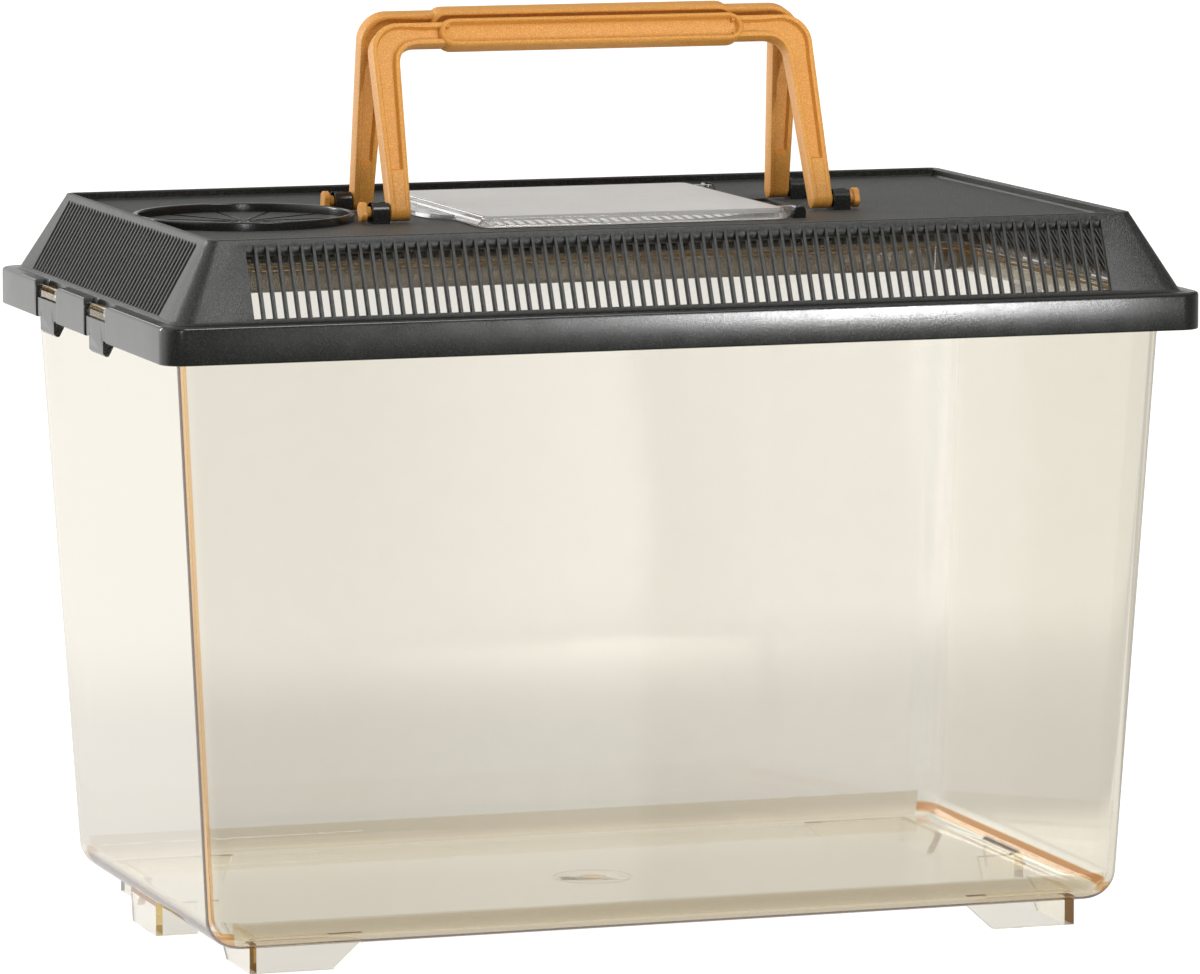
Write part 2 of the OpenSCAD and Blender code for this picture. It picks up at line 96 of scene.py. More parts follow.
class KeeperTankSizes(bpy.types.PropertyGroup):
    wall: length("Wall", "Thickness of the tank's walls", 2.2)
    floor: length("Floor", "Thickness of the tank's floor", 2.6)
    corner: length("Upright corner", "Radius of the upright corners at the lid", 12)
    base_edge: length("Base edge", "Radius between the walls and the floor", 10)
    foot: length("Foot height", "Height of the feet", 9)
    rim_wall: length("Rim wall", "Thickness of the rolled rim", 1.8)
    gate: length("Gate disc", "Diameter of the shallow disc under the floor", 27.6)
    arc_steps: IntProperty(name="Corner steps", description="Faces round each upright corner", default=16)


class KeeperLidSizes(bpy.types.PropertyGroup):
    ledge: length("Ledge", "Width of the ledge outside the slots", 5)
    pitch: length("Slot pitch", "Distance from one slot to the next", 4.05)
    slot: length("Slot width", "Width of a slot", 2.8)
    end: length("End border", "Plain border at each end of the slots", 9.7)
    border: length("Slot border", "Plain strip below and above the slots", 1.2)
    sheet: length("Slotted wall", "Thickness of the slotted walls, measured level", 2.2)
    deck: length("Deck", "Thickness of the deck", 2)
    collar: length("Collar", "Outer diameter of the round collar", 77)
    collar_wall: length("Collar wall", "Wall thickness of the collar", 1.8)


class KeeperHandleSizes(bpy.types.PropertyGroup):
    thickness: length("Thickness", "Thickness of the legs and the bar", 7)
    channel: length("Channel", "Depth of the channel in the legs and the bar", 2)
    rib: length("Edge rib", "Width of the rounded ribs beside the channel", 2)
    grip: length("Grip", "Length of the grip", 112)
    pocket: length("Pocket", "Depth of the grip's pocket", 2.8)


class KeeperHatchSizes(bpy.types.PropertyGroup):
    wall: length("Wall", "Wall thickness of the hatch", 1.6)
    corner: length("Corner", "Radius of the hatch's upright corners", 4)
    lip: length("Lip", "How far the finger lip stands out", 9)


class KeeperFinish(bpy.types.PropertyGroup):
    black: colour("Lid", "Colour of the moulded black plastic", (0.009, 0.0093, 0.008, 1))
    deck: colour("Deck", "Colour of the grained deck", (0.042, 0.043, 0.038, 1))
    amber: colour("Handles", "Colour of the handles", (0.70, 0.32, 0.062, 1))
    smoke: colour("Clear plastic", "Tint of the clear plastic at its edges", (0.87, 0.82, 0.62, 1))
    tint: FloatProperty(name="Tint depth", description="How fast the clear plastic colours with depth", default=100)
    # The edge colour and the glow amount below are a painted glow: emission in the clear plastic's volume that stands
    # in for light carried to its edges
    edge: colour("Edge light", "Colour of the light that the clear plastic guides to its edges", (1.0, 0.52, 0.14, 1))
    painted_edge_glow: FloatProperty(name="Guided light", default=5.0,
                          description="Light that gathers along long ways through the plastic")


class KeeperStage(bpy.types.PropertyGroup):
    floor: colour("Floor", "Colour of the floor", (0.15, 0.15, 0.15, 1))
    glow: FloatProperty(name="Floor glow", description="Light that the pale floor shows to the camera", default=1.0)
    # Near and far glow paint shade into the floor's glow behind the object
    near: FloatProperty(name="Near glow", description="Light from the floor just behind the object", default=0.45)
    far: FloatProperty(name="Far glow", description="Light from the floor far behind the object", default=0.66)
    sky: FloatProperty(name="Room light", description="Strength of the light from all round", default=1.0)
    key: FloatProperty(name="Key light", description="Power of the soft key light", default=10, unit="POWER")
    rim: FloatProperty(name="Rear strip", description="Power of the strip at the rear left", default=26, unit="POWER")
    low: FloatProperty(name="Low strip", description="Power of the small light low in front", default=5, unit="POWER")
    edge: FloatProperty(name="Front strip", description="Power of the strip at the front left", default=6, unit="POWER")


# ---------------------------------------------------------------- shapes

STRAIGHT = np.array([0.003, 0.25, 0.5, 0.75, 0.997])


def corner_arcs(half, radius, steps):
    """Quarter circles at the four corners of rectangles, as an array of rows, corners, steps and x, y.
    Each point is the corner circle's middle plus the radius times the cosine and sine of its angle."""
    half, radius = np.atleast_2d(np.asarray(half, float)), np.atleast_1d(np.asarray(radius, float))
    angle = np.radians(90 * (np.arange(4)[:, None] + np.linspace(0, 1, steps + 1)[None, :]))
    side = np.array([[1, 1], [-1, 1], [-1, -1], [1, -1]], float)
    middle = side[None] * (half - radius[:, None])[:, None, :]
    turn = np.stack([np.cos(angle), np.sin(angle)], -1)
    return middle[:, :, None, :] + radius[:, None, None, None] * turn[None]


def rings(sections, steps=16, straight=STRAIGHT):
    """Rounded rectangles stacked in height. A section is half length, half depth, corner radius and z.
    Points run anticlockwise; between two corner arcs they are shares of the straight side."""
    sections = np.asarray(sections, float)
    arcs = corner_arcs(sections[:, :2], sections[:, 2], steps)
    start, end = arcs[:, :, -1, :], np.roll(arcs, -1, 1)[:, :, 0, :]
    sides = start[:, :, None] + (end - start)[:, :, None] * straight[None, None, :, None]
    flat = np.concatenate([arcs, sides], 2).reshape(len(sections), -1, 2)
    z = np.broadcast_to(sections[:, 3][:, None, None], flat.shape[:2] + (1,))
    return np.concatenate([flat, z], 2)


def circles(profile, count=48):
    """Surface of revolution about z: each profile point is a radius and a height, turned in equal steps."""
    profile = np.asarray(profile, float)
    angle = np.linspace(0, 2 * math.pi, count, endpoint=False)
    x, y = profile[:, :1] * np.cos(angle), profile[:, :1] * np.sin(angle)
    return np.stack([x, y, np.broadcast_to(profile[:, 1:2], x.shape)], -1)


def arc(middle, radius, start, end, steps):
    """Points on a circle from one angle to another, in degrees."""
    angle = np.radians(np.linspace(start, end, steps + 1))
    return np.stack([middle[0] + radius * np.cos(angle), middle[1] + radius * np.sin(angle)], -1)


def edge_rows(half, corner, z, radius, angles, share=1.0):
    """Sections over a rounded edge, for angles in degrees: the outline is drawn in by the radius times one
    minus the cosine, its corner by a share of that, and the section rises by the radius times the sine."""
    rows = []
    for a in np.radians(angles):
        g = radius * (1 - math.cos(a))
        rows.append((half[0] - g, half[1] - g, corner - g * share, z + radius * math.sin(a)))
    return rows


def skin(grid, wrap=False):
    """Quads between the rows of a grid whose rows are closed. With wrap the last row joins the first;
    without it both end rows are closed by one flat face."""
    rows, cols = grid.shape[:2]
    index = np.arange(rows * cols).reshape(rows, cols)
    low = index if wrap else index[:-1]
    high = np.roll(index, -1, 0) if wrap else index[1:]
    quads = np.stack([low, np.roll(low, -1, 1), np.roll(high, -1, 1), high], -1).reshape(-1, 4)
    faces = quads.tolist()
    if not wrap:
        faces += [index[0][::-1].tolist(), index[-1].tolist()]
    return grid.reshape(-1, 3), faces


def prism(outline, low, high, axis):
    """A flat outline carried straight from low to high along an axis (0 is x, 1 is y, 2 is z).
    The outline runs anticlockwise as seen from that axis's far end."""
    outline = np.asarray(outline, float)
    others = {0: (1, 2), 1: (2, 0), 2: (0, 1)}[axis]
    grid = np.zeros((2, len(outline), 3))
    grid[:, :, others[0]], grid[:, :, others[1]] = outline[:, 0], outline[:, 1]
    grid[0, :, axis], grid[1, :, axis] = low, high
    return skin(grid)


def together(*parts):
    """Several closed shells as one set of points and faces."""
    points, faces, start = [], [], 0
    for p, f in parts:
        points.append(p)
        faces += [[i + start for i in face] for face in f]
        start += len(p)
    return np.concatenate(points), faces


def mirrored(part, axis):
    """The mirror image of a shell, with its faces turned to point outwards again."""
    points, faces = part
    flip = np.ones(3)
    flip[axis] = -1
    return points * flip, [face[::-1] for face in faces]


def moved(part, offset):
    """A shell set off by a distance in x, y and z."""
    return part[0] + np.asarray(offset, float), part[1]


def mesh_object(name, part, sharp=32):
    """A mesh object from points in millimetres, smooth except over edges sharper than an angle."""
    points, faces = part
    mesh = bpy.data.meshes.new(name)
    mesh.from_pydata((points * MM).tolist(), [], faces)
    mesh.validate()
    mesh.shade_smooth()
    mesh.set_sharp_from_angle(angle=math.radians(sharp))
    obj = bpy.data.objects.new(name, mesh)
    bpy.context.scene.collection.objects.link(obj)
    return obj


def combine(obj, part, operation):
    """Adds or cuts a shell with an exact boolean, and keeps the result as the object's own mesh."""
    tool = mesh_object(obj.name + "_tool", part)
    step = obj.modifiers.new("step", "BOOLEAN")
    step.operation, step.object, step.solver, step.use_self = operation, tool, "EXACT", True
    bake(obj)
    bpy.data.objects.remove(tool)
    return obj


def bake(obj, sharp=32):
    """Puts the result of the modifiers into the mesh and clears them."""
    evaluated = obj.evaluated_get(bpy.context.evaluated_depsgraph_get())
    mesh = bpy.data.meshes.new_from_object(evaluated)
    obj.modifiers.clear()
    old = obj.data
    obj.data = mesh
    bpy.data.meshes.remove(old)
    mesh.name = obj.name
    mesh.shade_smooth()
    mesh.set_sharp_from_angle(angle=math.radians(sharp))


def soften(obj, width, segments=2, angle=40):
    """Rounds the sharp edges with a small bevel."""
    bevel = obj.modifiers.new("rounding", "BEVEL")
    bevel.width, bevel.segments, bevel.limit_method = width * MM, segments, "ANGLE"
    bevel.angle_limit = math.radians(angle)
    bevel.miter_outer = "MITER_ARC"


def face_places(obj):
    """Middles, in millimetres, and normals of an object's faces, each as rows of x, y and z."""
    made = []
    for key, unit in (("center", MM), ("normal", 1)):
        values = np.zeros(len(obj.data.polygons) * 3)
        obj.data.polygons.foreach_get(key, values)
        made.append(values.reshape(-1, 3).T / unit)
    return made


def place(obj, body, slot, materials, *nodes):
    """Gives a piece its materials and its body, and hides the CAD nodes it stands for. The slot is not used."""
    obj.data.materials.clear()
    for made in materials:
        obj.data.materials.append(made)
    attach(obj, body)
    if nodes:
        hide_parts(*nodes)
    return obj


# ---------------------------------------------------------------- materials

def node(tree, kind, at, **values):
    """A shader node at a place in the tree. A value sets the input or the property of that name, and another
    node's socket is linked to the input."""
    made = tree.nodes.new(kind)
    made.location = at
    for key, value in values.items():
        if isinstance(value, bpy.types.NodeSocket):
            tree.links.new(value, made.inputs[key])
        elif key in made.inputs:
            made.inputs[key].default_value = value
        else:
            setattr(made, key, value)
    return made


def maths(tree, operation, *values, at=(-300, 0)):
    """The result of a maths node on numbers and sockets."""
    made = node(tree, "ShaderNodeMath", at, operation=operation)
    for socket, value in zip(made.inputs, values):
        if isinstance(value, bpy.types.NodeSocket):
            tree.links.new(value, socket)
        else:
            socket.default_value = value
    return made.outputs[0]


def step(tree, value, start, end, low=0.0, high=1.0, at=(-600, 0)):
    """A soft step: low before start, high after end, and a smooth curve between."""
    made = node(tree, "ShaderNodeMapRange", at, interpolation_type="SMOOTHSTEP", Value=value,
                **{"From Min": start, "From Max": end, "To Min": low, "To Max": high})
    return made.outputs[0]


def new_group(name, inputs, outputs):
    """A node group with float inputs, given with their defaults, and float outputs."""
    tree = bpy.data.node_groups.new(name, "ShaderNodeTree")
    for label, value in inputs.items():
        tree.interface.new_socket(label, in_out="INPUT", socket_type="NodeSocketFloat").default_value = value
    for label in outputs:
        tree.interface.new_socket(label, in_out="OUTPUT", socket_type="NodeSocketFloat")
    gin = node(tree, "NodeGroupInput", (-900, 0))
    where = node(tree, "ShaderNodeTexCoord", (-900, -300)).outputs["Object"]
    return tree, gin.outputs, node(tree, "NodeGroupOutput", (700, 0)).inputs, where


def moulded_group():
    """Moulded plastic: a fine spark texture and slow waves as a height, and a patchy sheen.
    Height is fine noise times Grain plus broad noise times Waves. Roughness is Sheen plus Spread times
    a patchy noise about zero. Speckle is a soft step of the fine noise."""
    if "moulded_surface" in bpy.data.node_groups:
        return bpy.data.node_groups["moulded_surface"]
    tree, given, result, where = new_group(
        "moulded_surface", {"Scale": 900.0, "Grain": 0.5, "Waves": 0.5, "Sheen": 0.4, "Spread": 0.1},
        ("Height", "Roughness", "Patches", "Speckle"))
    fine = node(tree, "ShaderNodeTexNoise", (-600, 200), Vector=where, Scale=given["Scale"], Detail=3.0,
                Roughness=0.6).outputs["Fac"]
    broad = node(tree, "ShaderNodeTexNoise", (-600, -100), Vector=where, Scale=38.0, Detail=2.0).outputs["Fac"]
    patch = node(tree, "ShaderNodeTexNoise", (-600, -400), Vector=where, Scale=120.0, Detail=4.0,
                 Roughness=0.65).outputs["Fac"]
    height = maths(tree, "ADD", maths(tree, "MULTIPLY", fine, given["Grain"], at=(-300, 200)),
                   maths(tree, "MULTIPLY", broad, given["Waves"]), at=(0, 100))
    centred = maths(tree, "SUBTRACT", patch, 0.5, at=(-450, -500))
    sheen = maths(tree, "MULTIPLY_ADD", centred, given["Spread"], given["Sheen"], at=(-300, -300))
    speckle = step(tree, fine, 0.42, 0.72, at=(0, 350))
    for label, value in (("Height", height), ("Roughness", sheen), ("Patches", patch), ("Speckle", speckle)):
        tree.links.new(value, result[label])
    return tree


def hide_group():
    """Leather-like grain: cells with soft borders, broken up by noise, as a height and as a mask."""
    if "hide_grain" in bpy.data.node_groups:
        return bpy.data.node_groups["hide_grain"]
    tree, given, result, where = new_group("hide_grain", {"Scale": 900.0, "Break": 0.8}, ("Height", "Mask"))
    cells = node(tree, "ShaderNodeTexVoronoi", (-600, 200), feature="DISTANCE_TO_EDGE", Vector=where,
                 Scale=given["Scale"]).outputs["Distance"]
    noise = node(tree, "ShaderNodeTexNoise", (-600, -100), Vector=where, Scale=1900.0, Detail=2.0).outputs["Fac"]
    mask = step(tree, cells, 0.0, 0.28, at=(-350, 200))
    tree.links.new(maths(tree, "MULTIPLY_ADD", noise, given["Break"], mask, at=(-100, 100)), result["Height"])
    tree.links.new(mask, result["Mask"])
    return tree


def material(name, fill, *values):
    """The material of a name, which a function fills in when it is first asked for. The function gets the
    tree, its Principled shader, the finish settings and any more values."""
    if name in bpy.data.materials:
        return bpy.data.materials[name]
    made = bpy.data.materials.new(name)
    made.use_nodes = True
    fill(made.node_tree, made.node_tree.nodes["Principled BSDF"], bpy.context.scene.keeper_finish, *values)
    return made


def relief(tree, shader, height, strength, distance):
    """A bump from a height into the shader's normal."""
    made = node(tree, "ShaderNodeBump", (-300, -300), Strength=strength, Distance=distance, Height=height)
    tree.links.new(made.outputs["Normal"], shader.inputs["Normal"])


def moulded(tree, shader, surface, bump, distance):
    """Places the moulded surface group and feeds the shader's roughness and normal. Returns its outputs."""
    group = node(tree, "ShaderNodeGroup", (-600, -200), node_tree=moulded_group(), **surface).outputs
    relief(tree, shader, group["Height"], bump, distance)
    tree.links.new(group["Roughness"], shader.inputs["Roughness"])
    return group


def tinted(tree, shader, mask, first, second, blend="MIX"):
    """Mixes two colours by a mask into the shader's base colour."""
    mix = node(tree, "ShaderNodeMix", (-250, 200), data_type="RGBA", blend_type=blend, A=first, B=second, Factor=mask)
    tree.links.new(mix.outputs["Result"], shader.inputs["Base Color"])


def shade(value, share):
    """A colour made lighter or darker by a share."""
    return (value[0] * share, value[1] * share, value[2] * share, 1)


# Opaque mouldings: the finish that colours them, its darkest and lightest share, the surface, the bump's strength
# and its depth in metres
OPAQUE = {
    # glossy black with faint flow marks, on the lid's band
    "black_plastic": ("black", 0.6, 2.4, dict(Scale=2300, Grain=0.6, Waves=0.4, Sheen=0.20, Spread=0.12),
                      0.25, 0.0001),
    # black with a fine sparkle texture, on the lid's slopes
    "satin_plastic": ("black", 0.3, 4.5, dict(Scale=2000, Grain=1.0, Waves=0.1, Sheen=0.33, Spread=0.14),
                      0.8, 0.00016),
    # amber-orange with a soft gloss, on the handles
    "amber_plastic": ("amber", 0.82, 1.3, dict(Scale=2500, Grain=1.0, Waves=0.3, Sheen=0.44, Spread=0.14),
                      0.5, 0.0001),
}


def opaque_plastic(name):
    """One of the opaque mouldings, speckled between a darker and a lighter share of its colour."""
    def fill(tree, shader, finish, key, dark, light, *surface):
        speckle = moulded(tree, shader, *surface)["Speckle"]
        value = getattr(finish, key)
        tinted(tree, shader, speckle, shade(value, dark), shade(value, light))
        if key == "amber":
            shader.inputs["Specular IOR Level"].default_value = 0.32
    return material(name, fill, *OPAQUE[name])


def grained_plastic():
    """Black moulding with a leather-like grain, as on the deck."""
    def fill(tree, shader, finish):
        height = node(tree, "ShaderNodeGroup", (-600, -200), node_tree=hide_group()).outputs["Height"]
        relief(tree, shader, height, 0.9, 0.0004)
        shader.inputs["Roughness"].default_value = 0.5
        tinted(tree, shader, height, shade(finish.deck, 0.05), shade(finish.deck, 1.6))
    return material("grained_plastic", fill)


def clear_plastic():
    """Clear plastic that colours with depth: a smooth dielectric round an absorbing volume, with a painted glow, an
    emission in the volume that stands in for the light that the walls guide to their edges. The surface takes a
    stronger tint by an attribute of the tank's own, a painted amber light at its edges: none at 0, straw at 0.5 and
    amber at 1."""
    def fill(tree, shader, finish):
        surface = dict(Scale=600, Grain=0.1, Waves=1.0, Sheen=0.025, Spread=0.02)
        group = moulded(tree, shader, surface, 0.06, 0.0002)
        # Painted amber light at the tank's edges, read from the tank's own attribute
        edge = node(tree, "ShaderNodeAttribute", (-900, 300), attribute_name="edge_tint").outputs["Fac"]
        ramp = node(tree, "ShaderNodeValToRGB", (-700, 300), Fac=edge)
        ramp.color_ramp.elements[0].color = (1.0, 0.997, 0.99, 1)
        ramp.color_ramp.elements[1].color = (0.74, 0.35, 0.10, 1)
        ramp.color_ramp.elements.new(0.5).color = (0.86, 0.80, 0.69, 1)
        tinted(tree, shader, group["Patches"], ramp.outputs["Color"], (0.97, 0.97, 0.965, 1), "MULTIPLY")
        shader.inputs["Transmission Weight"].default_value = 1.0
        shader.inputs["IOR"].default_value = 1.5
        depth = node(tree, "ShaderNodeVolumeAbsorption", (0, -400), Color=tuple(finish.smoke), Density=finish.tint)
        # Painted glow: an emission in the volume, coloured like light at the edges
        painted_edge_glow = node(tree, "ShaderNodeEmission", (0, -550), Color=tuple(finish.edge), Strength=finish.painted_edge_glow)
        both = node(tree, "ShaderNodeAddShader", (200, -450))
        tree.links.new(depth.outputs["Volume"], both.inputs[0])
        tree.links.new(painted_edge_glow.outputs["Emission"], both.inputs[1])
        tree.links.new(both.outputs[0], tree.nodes["Material Output"].inputs["Volume"])
    return material("clear_plastic", fill)


def hatch_plastic(name, frost, milky, bump):
    """Pale clear plastic, frosted by a fine texture or left glossy."""
    def fill(tree, shader, finish):
        surface = dict(Scale=1300, Grain=0.8, Waves=0.4, Sheen=frost, Spread=frost * 0.5)
        group = moulded(tree, shader, surface, bump, 0.0001)
        tinted(tree, shader, group["Patches"], (0.93, 0.925, 0.905, 1), (0.985, 0.98, 0.965, 1))
        shader.inputs["Transmission Weight"].default_value = 1.0 - milky
        shader.inputs["IOR"].default_value = 1.5
    return material(name, fill)


# ---------------------------------------------------------------- pieces

def tank_half(z):
    """Half sizes of the tank's outside at a height: the drafted walls lean in towards the floor."""
    return TANK_HALF - TANK_LEAN * (BAND_Z - z) / TANK_H


def tank_section(z, inset, corner):
    """Section of the tank at a height, as half sizes, corner radius and height."""
    x, y = tank_half(z)
    return x - inset, y - inset, max(corner - inset, 0.3), z


class KEEPER_OT_tank(bpy.types.Operator):
    """Build the clear tank with its rolled rim, feet and gate disc"""
    bl_idname = "keeper.tank"
    bl_label = "Tank"

    def execute(self, context):
        s = context.scene.keeper_tank
        wall, floor, corner = s.wall / MM, s.floor / MM, s.corner / MM
        edge, foot, rim_wall = s.base_edge / MM, s.foot / MM, s.rim_wall / MM
        rim_corner, lip_z, under = 4.5, RIM_Z - RIM_H, RIM_Z - rim_wall
        outer_x, outer_y = TANK_RIM_HALF
        inner_x, inner_y, inner_r = outer_x - rim_wall, outer_y - rim_wall, rim_corner - rim_wall
        tenths = np.radians(np.linspace(0, 90, 11))
        rows = [tank_section(foot, edge + 1.5, corner)]
        rows += [tank_section(foot + edge * (1 - math.cos(a)), edge * (1 - math.sin(a)), corner)
                 for a in tenths]  # outer round from the floor to the wall
        rows += [tank_section(foot + edge + 0.4, 0, corner)]
        rows += [tank_section(z, 0, corner) for z in np.linspace(foot + edge + 40, under - 1.2, 5)]
        for a in np.radians([0, 30, 60, 90]):  # fillet under the rim's top
            g, z = 1.0 - math.cos(a), under - 1.0 + math.sin(a)
            x, y = tank_half(z)
            rows.append((x + g, y + g, corner, z))
        rows += [(inner_x - 0.5, inner_y - 0.5, inner_r, under), (inner_x, inner_y, inner_r, under - 0.5),
                 (inner_x, inner_y, inner_r, lip_z + 0.4)]
        for a in np.radians([0, 45, 90, 135, 180]):  # rounded lip of the rolled rim
            g = 0.5 * rim_wall * (1 - math.cos(a))
            rows.append((inner_x + g, inner_y + g, inner_r + g, lip_z + 0.4 * (1 - math.sin(a))))
        rows.append((outer_x, outer_y, rim_corner, lip_z + 0.9))
        rows += edge_rows((outer_x, outer_y), rim_corner, RIM_Z - 1.2, 1.2, [0, 22, 45, 68, 90], 0.5)
        for a in np.radians([90, 60, 30, 0]):  # round from the rim into the wall
            section = tank_section(RIM_Z, wall - 0.6 * math.sin(a), corner)
            rows.append(section[:3] + (RIM_Z - 0.6 + 0.6 * math.sin(a),))
        inside, r = foot + floor + edge - wall, edge - wall
        rows += [tank_section(z, wall, corner) for z in np.linspace(RIM_Z - 1.4, inside + 30, 4)]
        rows += [tank_section(inside + 0.4, wall, corner)]
        rows += [tank_section(foot + floor + r * (1 - math.cos(a)), wall + r * (1 - math.sin(a)), corner)
                 for a in tenths[::-1]]  # inner round from the wall to the floor
        rows.append(tank_section(foot + floor, edge + 1.5, corner))
        tank = mesh_object("tank_shell", skin(rings(rows, s.arc_steps)))
        combine(tank, together(*self.feet(foot)), "UNION")
        gate = s.gate / MM / 2
        for radius, low, high, operation in ((gate + 0.3, -1, 0.5, "DIFFERENCE"), (gate - 0.3, 0, 1, "UNION")):
            combine(tank, skin(circles([(radius, foot + low), (radius, foot + high)], 96)), operation)
        dome = circles([(0.8, foot - 0.8), (2.4, foot - 0.7), (4.4, foot - 0.3), (6.0, foot + 0.3)], 40)
        combine(tank, skin(dome), "UNION")
        place(tank, "tank", "clear_tank", [clear_plastic()], "tank")
        self.edges(tank, foot, gate)
        return {"FINISHED"}

    @staticmethod
    def edges(tank, foot, gate):
        """Writes the tank's painted edge-light attribute, face by face, a painted amber that stands in for the light
        and refraction seen along its edges: 1 on the near upright corner, the ends' lower rounds and the gate, 0.5 on
        the long lower rounds, 0 elsewhere."""
        (x, y, z), (nx, ny, nz) = face_places(tank)
        slope = np.abs(nz)
        turn = np.degrees(np.arctan2(np.abs(ny), np.abs(nx)))
        round_ = (z > foot) & (z < foot + 12) & (slope > 0.06) & (slope < 0.98)
        # Painted light: only the front-left upright corner, the one nearest the camera, takes the amber
        upright = (z > foot + 8) & (z < BAND_Z) & (slope < 0.3) & (turn > 5) & (turn < 24) & (y < 0) & (x < 0)
        low_end = round_ & (slope > 0.45) & (slope < 0.8) & (turn < 60)
        reach = np.hypot(x, y)
        # The gate's ring and middle dome take the painted amber too
        vestige = (reach < 6.1) & (z < foot - 0.01) | (abs(reach - gate) < 0.5) & (abs(z - foot - 0.25) < 0.2)
        # Amount of painted edge light on each face
        tint = np.where(upright | low_end | vestige, 1.0, np.where(round_ & (turn > 60), 0.5, 0.0))
        tank.data.attributes.new("edge_tint", "FLOAT", "FACE").data.foreach_set("value", tint)

    @staticmethod
    def arm(length_, slant, root):
        """Upright rib along x with its outer face at y 0 and a slanted far end."""
        outline = np.array([[0, 0], [0, root], [length_, root], [length_, 9], [length_ - slant, 0]])
        return prism(outline[:, ::-1], 0, FOOT_T, 1)

    def feet(self, foot):
        """Corner feet and end feet: two ribs that meet at a right angle, mirrored to the other corners."""
        bx, by = tank_half(foot)

        def turned(part):
            """A rib turned over the diagonal, from along x to along y."""
            return part[0][:, [1, 0, 2]], [f[::-1] for f in part[1]]
        # A rib's length, how far its end slants, and how high it runs up into the round of the floor
        arm = self.arm(40, 10, 10.3)
        corner = [moved(p, (14.5 - bx, 10 - by, 0)) for p in (arm, turned(arm))]
        end = [moved(p, (3 - bx, END_SHIFT - 17, 0)) for p in (self.arm(17, 2, 10.3), turned(self.arm(34, 2, 12.2)))]
        left = corner + [mirrored(p, 1) for p in corner] + end
        return left + [mirrored(p, 0) for p in left]


def slot_edges(span, pitch, width):
    """Places of the slots' edges along a side, centred, as many as fit in the span; one row for each width."""
    count = int(span // pitch)
    middle = (np.arange(count) - (count - 1) / 2) * pitch
    return np.stack([middle - width / 2, middle + width / 2], -1).reshape(len(width), -1)


